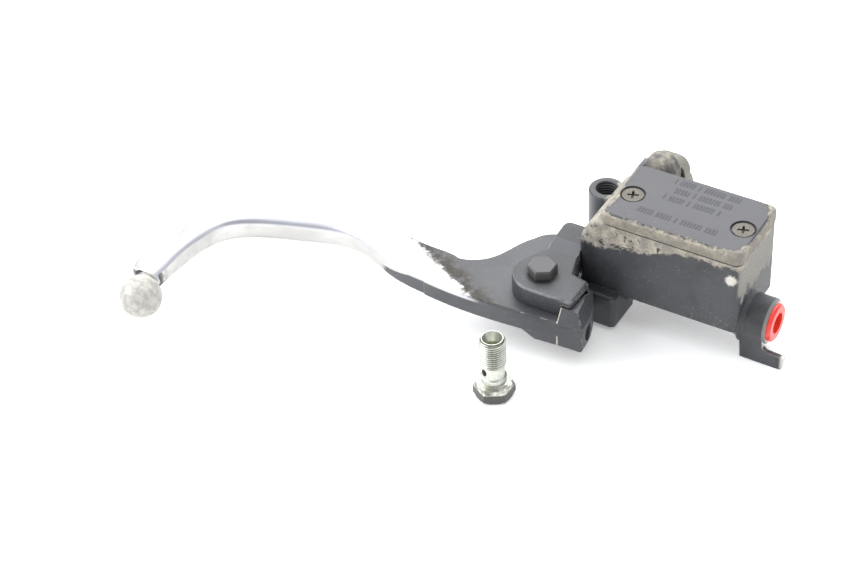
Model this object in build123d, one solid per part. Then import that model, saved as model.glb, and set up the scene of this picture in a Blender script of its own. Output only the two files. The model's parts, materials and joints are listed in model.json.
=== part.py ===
from build123d import *
import math
import os

# Front brake master cylinder for the right-hand end of a motorcycle handlebar.
# Millimetres. The origin is the centre of the bar clamp's bore. +X runs along the
# bar towards the hose outlet, +Y towards the rider and +Z up.

# ---- Driving dimensions ------------------------------------------------------
BAR_RADIUS = 11.1  # 22.2 mm handlebar
CLAMP_LENGTH = 14.0  # of the ring, along the bar
CLAMP_RADIUS = 14.8
CLAMP_GAP = 1.5  # between the two halves
LUG_X = 1.3
BOLT_OFFSET = 15.4  # clamp bolts above and below the bar axis
FRONT_LUG_Y, REAR_LUG_Y = -8.5, 8.0
RECESS_Y = 3.4  # floor of the recess each clamp bolt's head sinks into
RECESS_RADIUS = 4.6
WASHER_THICKNESS = 0.9
BOLT_END_Y = -7.5
BOLT_RADIUS = 2.5  # M5
BOLT_HEAD_RADIUS, BOLT_HEAD_HEIGHT = 4.25, 3.2

BOX_LEFT, BOX_RIGHT = -2.7, 54.6  # fluid box
BOX_FRONT, BOX_BACK = -47.7, -14.1
BOX_BOTTOM, BOX_RIM = -10.2, 22.4
BOX_WALL = 3.2
BOX_FLOOR = 0.2
BOX_CORNER = 3.0
PILLAR_WALL = 2.6  # round each lid screw
SHOULDER_LEFT = -12.2  # the box's left side swells out to carry the fork
SHOULDER_HEIGHT = 7.0

LID_OVERHANG = 0.3
LID_TOP = 28.2
SEAL_THICKNESS = 0.8
SCREW_Y = -32.6
SCREW_X = (3.25, 48.76)
SCREW_RADIUS = 2.0  # M4
SCREW_HEAD_RADIUS = 4.2
SCREW_HEAD_HEIGHT = 2.3
SCREW_SINK = 0.35  # of the head below the lid's top
SCREW_BITE = 9.0  # into the pillar
PLATE_MARGIN = 3.0  # between the box's wall and the plate under the lid
PLATE_THICKNESS = 1.6
BAG_DEPTH = 9.0  # of the diaphragm below the rim
BAG_WALL = 1.2

CYLINDER_Y, CYLINDER_Z = -35.9, -8.4  # hydraulic axis, parallel to X
BORE_RADIUS = 5.5
MOUTH_X = -8.0  # open end of the barrel
SHOULDER_X = -1.0  # step the stop washer rests on
BORE_END_X = 48.0
BARREL_RADIUS = 8.3
MOUTH_RADIUS = 9.6
PORT_START_X, PORT_X = 51.5, 64.5
PORT_THREAD_RADIUS = 4.46  # minor diameter of M10 x 1.0
PORT_BOSS_RADIUS = 9.1
FEED_PORT_X = 17.0
BLEED_PORT_X = 25.3
ROD_RADIUS = 3.5  # of the piston outside the bore
PRIMARY_CUP_X, SECONDARY_CUP_X = 20.5, 2.0
PRIMARY_CUP_LENGTH, SECONDARY_CUP_LENGTH = 4.0, 3.0
SPRING_WIRE, SPRING_COIL = 0.45, 3.9  # radii
SPRING_LENGTH, SPRING_TURNS = 22.4, 9
CIRCLIP_X, CIRCLIP_THICKNESS = -3.1, 1.0

PIVOT_X, PIVOT_Y = -18.9, -63.7
EAR_RADIUS = 11.7
EAR_TOP, EAR_BOTTOM = 4.2, -3.4
EAR_FRONT = PIVOT_Y - EAR_RADIUS
EAR_RIGHT = -0.7
EAR_STEP_Y = -58.8
EAR_NECK_X = -11.4
EAR_THIN_X, EAR_THIN_BOTTOM = -4.8, 1.9
LOWER_EAR_TOP, LOWER_EAR_BOTTOM = -15.3, -19.8
FORK_FRONT, FORK_RIGHT = -52.7, 5.9  # block behind the heel
FORK_TOP, FORK_BOTTOM = -8.4, -22.8
PIVOT_RADIUS = 4.0
PIVOT_THREAD_RADIUS = 3.0  # M6
PIVOT_FLATS = 10.0  # of the bolt's head and the nut
ARM_LEFT, ARM_BACK = -24.2, -34.6
ARM_TOP = 7.4

LEVER_TOP, LEVER_BOTTOM = -3.6, -11.6
HUB_BOTTOM = -15.1
HUB_RADIUS = 11.6
NOSE_RADIUS = 5.0  # rounded lobe that pushes the piston
NOSE_X = -25.0
BUSH_RADIUS = 5.0
BALL_RADIUS = 8.4
BALL = (-156.9, -135.0, -8.9)
BLADE_END_X = -62.0
HEEL_FRONT, HEEL_REAR = (5.6, -78.5), (-1.2, -56.6)
HEEL_CORNER = (-4.8, -78.9)
HEEL_RISE, HEEL_SLOPE = 4.7, 3.2  # height and side slopes of the hump under the ear's flange
HEEL_SWING = 18.5  # round the pivot, inside which the heel is no higher than the lever
HEEL_HOLE = (3.7, -72.4, -9.6)
HEEL_HOLE_RADIUS, HEEL_HOLE_DEPTH = 3.6, 6.0
FOOT_LEFT, FOOT_FULL = -19.6, -14.0
NOSE_BOTTOM = -13.4

MIRROR_X, MIRROR_Y = -14.8, -18.4
MIRROR_TOP, MIRROR_BOTTOM = 14.7, -6.0
MIRROR_BOSS_RADIUS = 7.1
MIRROR_THREAD_RADIUS = 4.33  # minor diameter of M10 x 1.25
MIRROR_THREAD_DEPTH = 17.0

TAB_BACK, TAB_THICKNESS = -42.1, 2.0

# Where the hollow bolt stands on the surface the cylinder lies on, and that
# surface's slope in this frame.
STAND_X, STAND_Y, STAND_Z = -17.7, -104.7, -24.05
SLOPE_X, SLOPE_Y = 0.0225, -0.0176
HEX_FLATS, HEX_HEIGHT = 14.0, 5.0
COLLAR_RADIUS, COLLAR_TOP = 6.9, 6.2
HOSE_BOLT_RADIUS = 4.95  # M10, a little under
HOSE_BOLT_NECK = 4.3
HOSE_BOLT_LENGTH = 27.0
HOSE_BOLT_HOLE = 2.2
CROSS_HOLE_RADIUS, CROSS_HOLE_Z = 1.5, 12.2

RUNNING_GAP = 0.05
PISTON_START = NOSE_X + NOSE_RADIUS + 0.02
LAND_RADIUS = BORE_RADIUS - RUNNING_GAP


# ---- Helpers -------------------------------------------------------------------
def block(x_span, y_span, z_span, corner=0.0, along=Axis.Z):
    """Block between two limits on each axis, its edges along one axis rounded."""
    size = [span[1] - span[0] for span in (x_span, y_span, z_span)]
    middle = [(span[0] + span[1]) / 2 for span in (x_span, y_span, z_span)]
    solid = Pos(*middle) * Box(*size)
    if corner:
        solid = fillet(solid.edges().filter_by(along), corner)
    return solid


def rod_x(x_low, x_high, radius, y=CYLINDER_Y, z=CYLINDER_Z):
    """Cylinder along X, on the hydraulic axis unless told otherwise."""
    return Pos((x_low + x_high) / 2, y, z) * Rot(0, 90, 0) * Cylinder(radius, x_high - x_low)


def rod_y(x, z, y_low, y_high, radius):
    return Pos(x, (y_low + y_high) / 2, z) * Rot(90, 0, 0) * Cylinder(radius, y_high - y_low)


def rod_z(x, y, z_low, z_high, radius):
    return Pos(x, y, (z_low + z_high) / 2) * Cylinder(radius, z_high - z_low)


def hexagon_z(x, y, z_low, z_high, across_flats, turn=0):
    corners = Rot(0, 0, turn) * RegularPolygon(across_flats / 2, 6, major_radius=False)
    return extrude(Pos(x, y, z_low) * corners, z_high - z_low)


def turned(stations):
    """Solid of revolution about +X from (x, radius) stations, on the X axis."""
    first, last = stations[0], stations[-1]
    outline = Polyline((first[0], 0), *stations, (last[0], 0), close=True)
    return revolve(make_face(outline), Axis.X)


def on_cylinder_axis(solid):
    return Pos(0, CYLINDER_Y, CYLINDER_Z) * solid


def slab(face, z_low, z_high):
    """Plan face raised between two heights."""
    return extrude(Pos(0, 0, z_low) * face, z_high - z_low)


def round_upright_edges(solid, radius, near):
    """Rounds the vertical edges that stand at the listed plan points."""
    chosen = [
        edge
        for edge in solid.edges().filter_by(Axis.Z)
        if any(math.dist((edge.center().X, edge.center().Y), point) < 0.2 for point in near)
    ]
    return fillet(chosen, radius)


def rim_edges(solid, z):
    """Edges that lie flat at one height."""
    return solid.edges().filter_by_position(Axis.Z, z - 0.01, z + 0.01)


# ---- Casting ---------------------------------------------------------------------
def fluid_box():
    body = block((BOX_LEFT, BOX_RIGHT), (BOX_FRONT, BOX_BACK), (BOX_BOTTOM, BOX_RIM), BOX_CORNER)
    low_edges = rim_edges(body, BOX_BOTTOM)
    return fillet(low_edges, 1.2)


def box_cavity():
    """Hollow of the fluid box, less the two pillars the lid screws bite into."""
    hollow = block(
        (BOX_LEFT + BOX_WALL, BOX_RIGHT - BOX_WALL),
        (BOX_FRONT + BOX_WALL, BOX_BACK - BOX_WALL),
        (BOX_FLOOR, BOX_RIM),
        BOX_CORNER - 2.0,
    )
    for x in SCREW_X:
        hollow -= rod_z(x, SCREW_Y, BOX_FLOOR, BOX_RIM, SCREW_RADIUS + PILLAR_WALL)
    return hollow


def shoulder():
    """Swelling on the box's left side, with a sloping rounded top."""
    left, right = SHOULDER_LEFT, BOX_LEFT + BOX_CORNER
    rise = Line((left, BOX_BOTTOM), (left, SHOULDER_HEIGHT))
    slope = ThreePointArc(rise @ 1, (-10.4, 16.2), (-5.4, BOX_RIM - 0.4))
    back = Polyline(slope @ 1, (right, BOX_RIM - 0.4), (right, BOX_BOTTOM), (left, BOX_BOTTOM))
    profile = make_face(rise + slope + back)
    y_low, y_high = BOX_FRONT, BOX_BACK
    solid = extrude(Plane.XZ.offset(-y_high) * profile, y_high - y_low)
    front = solid.faces().sort_by(Axis.Y)[0]
    curved = [edge for edge in front.edges() if edge.center().X < BOX_LEFT - 1.0]
    return fillet([edge for edge in curved if edge.center().Z > BOX_BOTTOM + 1.0], 3.0)


def ear_face():
    """Plan of the upper ear and the arm that ties it to the mirror boss."""
    front = Line((EAR_RIGHT, EAR_FRONT), (PIVOT_X, EAR_FRONT))
    flank = math.radians(150)
    flank_point = (
        PIVOT_X + EAR_RADIUS * math.cos(flank),
        PIVOT_Y + EAR_RADIUS * math.sin(flank),
    )
    tip = ThreePointArc(front @ 1, (PIVOT_X - EAR_RADIUS, PIVOT_Y), flank_point)
    rest = Polyline(
        tip @ 1,
        (ARM_LEFT, -49.9),
        (ARM_LEFT, ARM_BACK - 4.0),
        (ARM_LEFT + 3.0, ARM_BACK),
        (-6.0, ARM_BACK + 1.0),
        (-6.0, BOX_FRONT + 1.0),
        (EAR_NECK_X, BOX_FRONT + 1.0),
        (-7.9, EAR_STEP_Y),
        (EAR_RIGHT, EAR_STEP_Y - 1.5),
        (EAR_RIGHT, EAR_FRONT),
    )
    return make_face(front + tip + rest)


def upper_ear():
    ear = slab(ear_face(), EAR_BOTTOM, EAR_TOP)
    ear = round_upright_edges(ear, 1.6, [(EAR_RIGHT, EAR_FRONT), (EAR_RIGHT, EAR_STEP_Y - 1.5)])
    ear = round_upright_edges(ear, 5.0, [(ARM_LEFT, -49.9)])
    top = [edge for edge in rim_edges(ear, EAR_TOP) if edge.center().Y < BOX_FRONT - 1.0]
    ear = fillet(top, 1.3)
    # The heel's side of the ear is a thin flange.
    return ear - block((EAR_THIN_X, 10.0), (-80.0, EAR_STEP_Y - 2.5), (-10.0, EAR_THIN_BOTTOM))


def arm_ridge():
    """Raised back of the arm, sloping up from the ear to the fluid box's side."""
    profile = make_face(
        Polyline(
            (-53.0, EAR_TOP - 1.5),
            (-45.0, ARM_TOP - 0.8),
            (-38.0, ARM_TOP),
            (ARM_BACK, ARM_TOP),
            (ARM_BACK, EAR_BOTTOM + 2.0),
            (-53.0, EAR_BOTTOM + 2.0),
            close=True,
        )
    )
    ridge = extrude(Pos(ARM_LEFT + 0.3, 0, 0) * (Plane.YZ * profile), 12.5)
    corner = [edge for edge in ridge.edges().filter_by(Axis.Z) if edge.center().X < ARM_LEFT + 1]
    ridge = fillet([edge for edge in corner if edge.center().Y > ARM_BACK - 1], 3.0)
    left = ridge.faces().sort_by(Axis.X)[0]
    return fillet([edge for edge in left.edges() if edge.center().Z > EAR_TOP + 0.5], 1.6)


def fork_block():
    """Block in front of the barrel that carries the lower ear."""
    body = block((-8.0, FORK_RIGHT), (FORK_FRONT, -36.0), (FORK_BOTTOM, FORK_TOP))
    body = round_upright_edges(body, 2.0, [(FORK_RIGHT, FORK_FRONT)])
    top_front = [edge for edge in rim_edges(body, FORK_TOP) if edge.center().Y < -40]
    body = fillet(top_front, 1.4)
    # Behind the lever's hub the block is cut back so that the hub can turn.
    return body - rod_z(PIVOT_X, PIVOT_Y, LOWER_EAR_TOP, -3.0, HUB_RADIUS + 0.8)


def lower_ear():
    reach = 9.6
    disc = rod_z(PIVOT_X, PIVOT_Y + 1.5, LOWER_EAR_BOTTOM, LOWER_EAR_TOP, reach)
    bridge = make_face(
        Polyline(
            (PIVOT_X, PIVOT_Y + 1.5 - reach),
            (-3.0, FORK_FRONT),
            (0.0, -38.0),
            (-6.0, -29.5),
            (-18.5, -29.5),
            (-25.0, -54.5),
            close=True,
        )
    )
    return disc + slab(bridge, LOWER_EAR_BOTTOM, LOWER_EAR_TOP)


def barrel():
    tube = rod_x(MOUTH_X, BOX_RIGHT, BARREL_RADIUS)
    collar = rod_x(MOUTH_X, 8.0, MOUTH_RADIUS)
    boss = rod_x(BOX_RIGHT - 3.0, PORT_X, PORT_BOSS_RADIUS)
    boss = chamfer(boss.edges().group_by(Axis.X)[-1], 0.9)
    step = on_cylinder_axis(
        turned([(BOX_RIGHT - 1.0, PORT_BOSS_RADIUS + 1.6), (BOX_RIGHT + 1.2, PORT_BOSS_RADIUS)])
    )
    return tube + collar + boss + step


def barrel_bore():
    """Everything cut on the hydraulic axis, from the boot's recess to the outlet."""
    stations = [
        (MOUTH_X - 1.0, 7.5),
        (-3.2, 7.5),
        (-3.2, 8.1),
        (-2.05, 8.1),
        (-2.05, 7.5),
        (SHOULDER_X, 7.5),
        (SHOULDER_X, BORE_RADIUS),
        (BORE_END_X, BORE_RADIUS),
        (BORE_END_X + 1.2, 1.6),
        (PORT_START_X - 0.8, 1.6),
        (PORT_START_X, PORT_THREAD_RADIUS),
        (PORT_X - 1.0, PORT_THREAD_RADIUS),
        (PORT_X + 0.1, PORT_THREAD_RADIUS + 1.1),
    ]
    return on_cylinder_axis(turned(stations))


def hose_tab():
    """Flat hook beside the outlet that stops the hose union turning."""
    outline = make_face(
        Polyline(
            (53.0, CYLINDER_Z + 2.0),
            (54.5, -16.0),
            (54.9, -22.9),
            (71.8, -23.3),
            (72.8, -17.4),
            (65.6, -17.0),
            (63.9, -15.6),
            (63.6, CYLINDER_Z),
            close=True,
        )
    )
    plate = extrude(Plane.XZ.offset(-TAB_BACK) * outline, TAB_THICKNESS)
    return plate


def mirror_boss():
    boss = rod_z(MIRROR_X, MIRROR_Y, MIRROR_BOTTOM, MIRROR_TOP, MIRROR_BOSS_RADIUS)
    boss = fillet(rim_edges(boss, MIRROR_TOP), 0.8)
    web = block((MIRROR_X, BOX_LEFT + 4.0), (-34.0, -12.5), (-3.4, 8.5), 1.5)
    return boss + web


def lug(half_width, height, corner, y_end, rounding):
    """Lug above the bar, open at the bar's height, its far edge rounded."""
    outline = Pos(LUG_X, height / 2) * Rectangle(2 * half_width, height)
    outline = fillet(outline.vertices().group_by(Axis.Y)[-1], corner)
    inner = math.copysign(CLAMP_GAP / 2, y_end)
    solid = extrude(Plane.XZ.offset(-inner) * outline, inner - y_end)
    far_face = solid.faces().sort_by(Axis.Y)[0 if y_end < 0 else -1]
    return fillet([edge for edge in far_face.edges() if edge.center().Z > 1.0], rounding)


def half_ring(y_end):
    """Half of the ring round the bar, solid inside."""
    half = CLAMP_LENGTH / 2
    inner = math.copysign(CLAMP_GAP / 2, y_end)
    y_span = sorted((inner, math.copysign(2 * CLAMP_RADIUS, y_end)))
    keep = block((-half, half), y_span, (-2 * CLAMP_RADIUS, 2 * CLAMP_RADIUS))
    return rod_x(-half, half, CLAMP_RADIUS, 0, 0) & keep


def bar_space():
    """The bar's bore, with a wider relief where the lugs are broader than the ring."""
    half = CLAMP_LENGTH / 2
    relief = rod_x(half, CLAMP_LENGTH, CLAMP_RADIUS - 1.5, 0, 0)
    return rod_x(-CLAMP_LENGTH, CLAMP_LENGTH, BAR_RADIUS, 0, 0) + relief


def front_clamp():
    upper = lug(7.0, 26.2, 6.9, FRONT_LUG_Y, 4.0)
    lower = mirror(lug(7.0, 25.3, 6.9, FRONT_LUG_Y, 4.0), Plane.XY)
    return half_ring(FRONT_LUG_Y) + upper + lower


def clamp_arm():
    """Solid web from the clamp to the fluid box, with a small pocket behind the lid."""
    half = CLAMP_LENGTH / 2
    arm = block((-half, half), (BOX_BACK - 2.0, -7.0), (-10.0, 12.0))
    arm = fillet(arm.edges().filter_by(Axis.Y), 2.0)
    rib = block((-7.0, 4.0), (BOX_BACK - 2.0, -3.0), (4.0, BOX_RIM))
    crest = [edge for edge in rim_edges(rib, BOX_RIM) if edge.center().X < -6.9]
    rib = fillet(crest, 2.2)
    pocket = block((-4.4, 2.4), (BOX_BACK, FRONT_LUG_Y + 1.5), (13.0, BOX_RIM + 1.0), 1.0)
    return arm + rib - pocket


def body_casting():
    body = fluid_box() + shoulder() + upper_ear() + arm_ridge() + fork_block() + lower_ear()
    body += barrel() + hose_tab() + mirror_boss() + clamp_arm() + front_clamp()
    body -= box_cavity()
    body -= barrel_bore()
    body -= bar_space()
    # Room for the lever's lobe and the dust boot in front of the barrel's mouth.
    body -= rod_x(-40.0, MOUTH_X, 7.8)
    body -= block((-40.0, MOUTH_X), (-47.0, -28.6), (LOWER_EAR_TOP, EAR_BOTTOM))
    # Lightening pocket under the box, behind the barrel.
    body -= block((9.0, 49.0), (-26.4, -20.7), (BOX_BOTTOM - 1.0, -3.0), 2.0)
    body -= rod_z(FEED_PORT_X, CYLINDER_Y, CYLINDER_Z, BOX_FLOOR + 0.1, 1.5)
    body -= rod_z(BLEED_PORT_X, CYLINDER_Y, CYLINDER_Z, BOX_FLOOR + 0.1, 0.5)
    body -= rod_z(PIVOT_X, PIVOT_Y, EAR_BOTTOM - 1.0, EAR_TOP + 1.0, PIVOT_RADIUS)
    body -= rod_z(PIVOT_X, PIVOT_Y, LOWER_EAR_BOTTOM - 1.0, LOWER_EAR_TOP + 1.0, PIVOT_THREAD_RADIUS)
    body -= rod_z(
        MIRROR_X, MIRROR_Y, MIRROR_TOP - MIRROR_THREAD_DEPTH, MIRROR_TOP + 1.0, MIRROR_THREAD_RADIUS
    )
    for x in SCREW_X:
        body -= rod_z(x, SCREW_Y, BOX_RIM - SCREW_BITE - 0.5, BOX_RIM + 1.0, SCREW_RADIUS)
    for z in (-BOLT_OFFSET, BOLT_OFFSET):
        body -= rod_y(LUG_X, z, BOLT_END_Y - 0.3, 1.0, BOLT_RADIUS)
    return body


# ---- Lid and what is under it ------------------------------------------------------
def lid_spans(margin):
    return (
        (BOX_LEFT - margin, BOX_RIGHT + margin),
        (BOX_FRONT - margin, BOX_BACK + margin),
    )


def reservoir_cap():
    x_span, y_span = lid_spans(LID_OVERHANG)
    lid = block(x_span, y_span, (BOX_RIM + SEAL_THICKNESS, LID_TOP), BOX_CORNER + LID_OVERHANG)
    lid = chamfer(rim_edges(lid, LID_TOP), 1.0)
    lid -= plate_space(0.15)
    for x in SCREW_X:
        head_top = LID_TOP - SCREW_SINK
        lid -= rod_z(x, SCREW_Y, head_top - 0.5, LID_TOP + 1.0, SCREW_HEAD_RADIUS + 0.7)
        lid -= rod_z(x, SCREW_Y, 0, LID_TOP, SCREW_RADIUS + 0.25)
        lid -= screw_cone(x, head_top, 0.1)
    return lid


def plate_space(gap):
    """Shallow recess under the lid, and with no gap the plate that fills it."""
    margin = BOX_WALL + PLATE_MARGIN - gap
    clear = SCREW_HEAD_RADIUS + 1.4 - gap
    low = BOX_RIM + SEAL_THICKNESS
    high = low + PLATE_THICKNESS + gap
    return block(
        (SCREW_X[0] + clear, SCREW_X[1] - clear),
        (BOX_FRONT + margin, BOX_BACK - margin),
        (low, high),
        2.0,
    )


def screw_cone(x, z_top, gap):
    """Countersink of a lid screw's head."""
    cone = Cone(SCREW_RADIUS + gap, SCREW_HEAD_RADIUS + gap, SCREW_HEAD_HEIGHT)
    return Pos(x, SCREW_Y, z_top - SCREW_HEAD_HEIGHT / 2) * cone


def cap_screws():
    screws = []
    for x in SCREW_X:
        top = LID_TOP - SCREW_SINK
        screw = screw_cone(x, top, 0.0)
        screw += rod_z(x, SCREW_Y, BOX_RIM - SCREW_BITE, top - SCREW_HEAD_HEIGHT, SCREW_RADIUS)
        for turn in (0, 90):
            slot = Rot(0, 0, turn + 20) * Box(4.4, 0.9, 2.4)
            screw -= Pos(x, SCREW_Y, top) * slot
        screws.append(screw)
    return Compound(children=screws)


def diaphragm_plate():
    plate = plate_space(0.0)
    for x in (16.0, 36.0):
        plate -= rod_z(x, SCREW_Y, 0, LID_TOP, 1.5)
    return plate


def diaphragm():
    """Rubber seal with a bag that hangs into the fluid."""
    x_span, y_span = lid_spans(-0.3)
    seal = block(x_span, y_span, (BOX_RIM, BOX_RIM + SEAL_THICKNESS), BOX_CORNER - 0.3)
    inner_x = (SCREW_X[0] + 7.0, SCREW_X[1] - 7.0)
    inner_y = (BOX_FRONT + BOX_WALL + 2.0, BOX_BACK - BOX_WALL - 2.0)
    bag = block(inner_x, inner_y, (BOX_RIM - BAG_DEPTH, BOX_RIM + 0.1), 3.0)
    hollow = block(
        (inner_x[0] + BAG_WALL, inner_x[1] - BAG_WALL),
        (inner_y[0] + BAG_WALL, inner_y[1] - BAG_WALL),
        (BOX_RIM - BAG_DEPTH + BAG_WALL, BOX_RIM + SEAL_THICKNESS),
        2.0,
    )
    solid = seal + bag - hollow
    for x in SCREW_X:
        solid -= rod_z(x, SCREW_Y, 0, LID_TOP, SCREW_RADIUS + 0.2)
    return solid


def port_baffle():
    """Little table over the two ports that keeps spurting fluid down."""
    x_span, y_span = (11.0, 31.0), (-42.0, -29.8)
    top = block(x_span, y_span, (2.0, 2.9), 2.0)
    for x in (x_span[0] + 1.5, x_span[1] - 1.5):
        for y in (y_span[0] + 1.5, y_span[1] - 1.5):
            top += rod_z(x, y, BOX_FLOOR, 2.1, 1.0)
    return top - rod_z(21.0, CYLINDER_Y, 1.0, 4.0, 1.0)


# ---- Bar clamp -------------------------------------------------------------------------
def bar_clamp():
    rear_lug = lug(8.1, 21.4, 6.0, REAR_LUG_Y, 3.0)
    clamp = half_ring(REAR_LUG_Y) + rear_lug + mirror(rear_lug, Plane.XY)
    clamp -= bar_space()
    for z in (-BOLT_OFFSET, BOLT_OFFSET):
        clamp -= rod_y(LUG_X, z, 0, REAR_LUG_Y, BOLT_RADIUS + 0.3)
        clamp -= rod_y(LUG_X, z, RECESS_Y, 2 * CLAMP_RADIUS, RECESS_RADIUS)
    return clamp


def clamp_washers():
    washers = []
    for z in (-BOLT_OFFSET, BOLT_OFFSET):
        disc = rod_y(LUG_X, z, RECESS_Y, RECESS_Y + WASHER_THICKNESS, RECESS_RADIUS - 0.1)
        washers.append(disc - rod_y(LUG_X, z, 0, REAR_LUG_Y, BOLT_RADIUS + 0.2))
    return Compound(children=washers)


def clamp_bolts():
    """Two socket-head screws pushed in from the rider's side."""
    bolts = []
    seat = RECESS_Y + WASHER_THICKNESS
    for z in (-BOLT_OFFSET, BOLT_OFFSET):
        head = rod_y(LUG_X, z, seat, seat + BOLT_HEAD_HEIGHT, BOLT_HEAD_RADIUS)
        head = chamfer(head.edges().group_by(Axis.Y)[-1], 0.4)
        socket = extrude(Plane.XZ * RegularPolygon(2.5, 6, major_radius=False), -2.6)
        head -= Pos(LUG_X, seat + 1.4, z) * socket
        bolts.append(head + rod_y(LUG_X, z, BOLT_END_Y, seat, BOLT_RADIUS))
    return Compound(children=bolts)


# ---- Lever ---------------------------------------------------------------------------------
def hub_face():
    """Plan of the lever from the heel to where the finger part starts."""
    front = Spline(HEEL_CORNER, (-28.1, -81.0), (-50.0, -81.3), (BLADE_END_X, -80.2))
    cut = Line(front @ 1, (BLADE_END_X, -61.8))
    rear = Spline(cut @ 1, (-52.5, -61.6), (-45.6, -56.6), (-40.6, -46.5), (-36.2, -38.4))
    lobe = ThreePointArc(
        rear @ 1,
        (NOSE_X - 2.5, CYLINDER_Y + NOSE_RADIUS - 0.6),
        (NOSE_X + NOSE_RADIUS * 0.5, CYLINDER_Y + NOSE_RADIUS * 0.866),
    )
    nose = ThreePointArc(
        lobe @ 1,
        (NOSE_X + NOSE_RADIUS, CYLINDER_Y),
        (NOSE_X + NOSE_RADIUS * 0.5, CYLINDER_Y - NOSE_RADIUS * 0.866),
    )
    inner = Polyline(nose @ 1, (-21.5, -50.2), (-13.0, -53.8), (-8.6, -56.1), HEEL_REAR)
    corner = Line(HEEL_FRONT, HEEL_CORNER)
    return make_face(front + cut + rear + lobe + nose + inner + heel_end() + corner)


def heel_end():
    """The heel's slightly bulging end, in plan."""
    return ThreePointArc(HEEL_REAR, (4.3, -68.6), HEEL_FRONT)


def foot():
    """Thicker part under the heel, rising to the blade's depth at its left end."""
    rest = Polyline(HEEL_FRONT, HEEL_CORNER, (FOOT_LEFT, -80.1), (FOOT_FULL, -55.4), HEEL_REAR)
    solid = slab(make_face(heel_end() + rest), HUB_BOTTOM, LEVER_TOP)
    low_end = [edge for edge in rim_edges(solid, HUB_BOTTOM) if edge.center().X > 1.0]
    solid = fillet(low_end, 1.2)
    rise = Polyline(
        (FOOT_LEFT, LEVER_BOTTOM),
        (FOOT_FULL, HUB_BOTTOM),
        (FOOT_LEFT, HUB_BOTTOM),
        close=True,
    )
    return solid - extrude(Plane.XZ.offset(50.0) * make_face(rise), 40.0)


def heel_hump():
    """Sloping hump on the heel, out of the thick ear's way however far the lever turns."""
    left = HEEL_CORNER[0]
    inside = left - 6.0
    rest = Polyline(HEEL_FRONT, HEEL_CORNER, (inside, HEEL_CORNER[1]), (inside, -58.0), HEEL_REAR)
    foot_print = Pos(0, 0, LEVER_TOP) * make_face(heel_end() + rest)
    crest = Pos(0, 0, HEEL_RISE) * offset(foot_print, -HEEL_SLOPE, kind=Kind.INTERSECTION)
    hump = loft([foot_print.faces()[0], crest.faces()[0]])
    above = LEVER_TOP + 2 * HEEL_RISE
    hump -= block((inside - 1.0, left), (-90.0, -50.0), (LEVER_TOP - 1.0, above))
    return hump - rod_z(PIVOT_X, PIVOT_Y, LEVER_TOP - 1.0, above, HEEL_SWING)


# Plan points of the finger part's centre line, from the blade to the ball.
FINGER_LINE = [
    (-57.0, -71.4),
    (-68.0, -70.6),
    (-80.0, -68.0),
    (-91.3, -64.9),
    (-103.0, -63.9),
    (-117.0, -66.9),
    (-131.0, -71.5),
    (-144.4, -77.2),
    (-152.6, -83.6),
    (-157.4, -93.5),
    (-159.8, -107.5),
    (-160.2, -127.0),
]
# Width, depth and corner radius of its section at fractions of its length.
FINGER_SECTIONS = [
    (0.0, 18.7, 8.0, 1.2),
    (0.10, 18.2, 8.0, 1.3),
    (0.19, 15.6, 8.5, 1.9),
    (0.27, 12.2, 9.6, 2.6),
    (0.36, 10.3, 10.4, 3.0),
    (0.45, 10.0, 10.7, 3.0),
    (0.54, 10.0, 10.7, 3.0),
    (0.63, 10.0, 10.7, 3.0),
    (0.715, 9.8, 10.7, 3.0),
    (0.80, 9.6, 10.6, 3.0),
    (0.90, 9.4, 10.3, 3.0),
    (1.0, 9.0, 10.0, 3.2),
]


def finger():
    """Rounded bar that follows the centre line, turning square to it at each section."""
    path = Spline(*FINGER_LINE)
    sections = []
    for fraction, width, depth, corner in FINGER_SECTIONS:
        centre = path.position_at(fraction)
        along = path.tangent_at(fraction)
        plane = Plane(
            origin=(centre.X, centre.Y, LEVER_TOP - depth / 2),
            x_dir=(-along.Y, along.X, 0),
            z_dir=along,
        )
        sections.append(plane * RectangleRounded(width, depth, corner))
    return loft(sections)


def lever():
    blade = slab(hub_face(), LEVER_BOTTOM, LEVER_TOP)
    rim = [edge for edge in rim_edges(blade, LEVER_TOP) if BLADE_END_X + 0.5 < edge.center().X < -22]
    blade = fillet(rim, 1.0)
    hub = rod_z(PIVOT_X, PIVOT_Y, HUB_BOTTOM, LEVER_TOP, HUB_RADIUS)
    lobe = rod_z(NOSE_X, CYLINDER_Y, NOSE_BOTTOM, LEVER_TOP, NOSE_RADIUS)
    root = Polyline((-31.0, -38.0), (-20.6, -38.5), (-21.8, -50.5), (-30.5, -54.0), close=True)
    lobe += slab(make_face(root), NOSE_BOTTOM, LEVER_TOP)
    neck = Cone(5.0, 4.4, 4.0)
    solid = blade + finger() + hub + foot() + heel_hump() + lobe
    solid += Pos(*BALL) * Sphere(BALL_RADIUS)
    solid += Pos(-159.6, -127.0, BALL[2] + 0.2) * Rot(90, 0, 0) * neck
    solid -= rod_z(PIVOT_X, PIVOT_Y, -30, 10, BUSH_RADIUS)
    # Blind hole in the heel's end face.
    across = Vector(-0.297, 0.955, 0)
    hole = Plane(origin=HEEL_HOLE, x_dir=across, z_dir=(0.955, 0.297, 0))
    return solid - extrude(hole * Circle(HEEL_HOLE_RADIUS), HEEL_HOLE_DEPTH, both=True)


def pivot_bush():
    tube = rod_z(PIVOT_X, PIVOT_Y, HUB_BOTTOM, LEVER_TOP, BUSH_RADIUS)
    return tube - rod_z(PIVOT_X, PIVOT_Y, -30, 10, PIVOT_RADIUS + 0.02)


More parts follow.
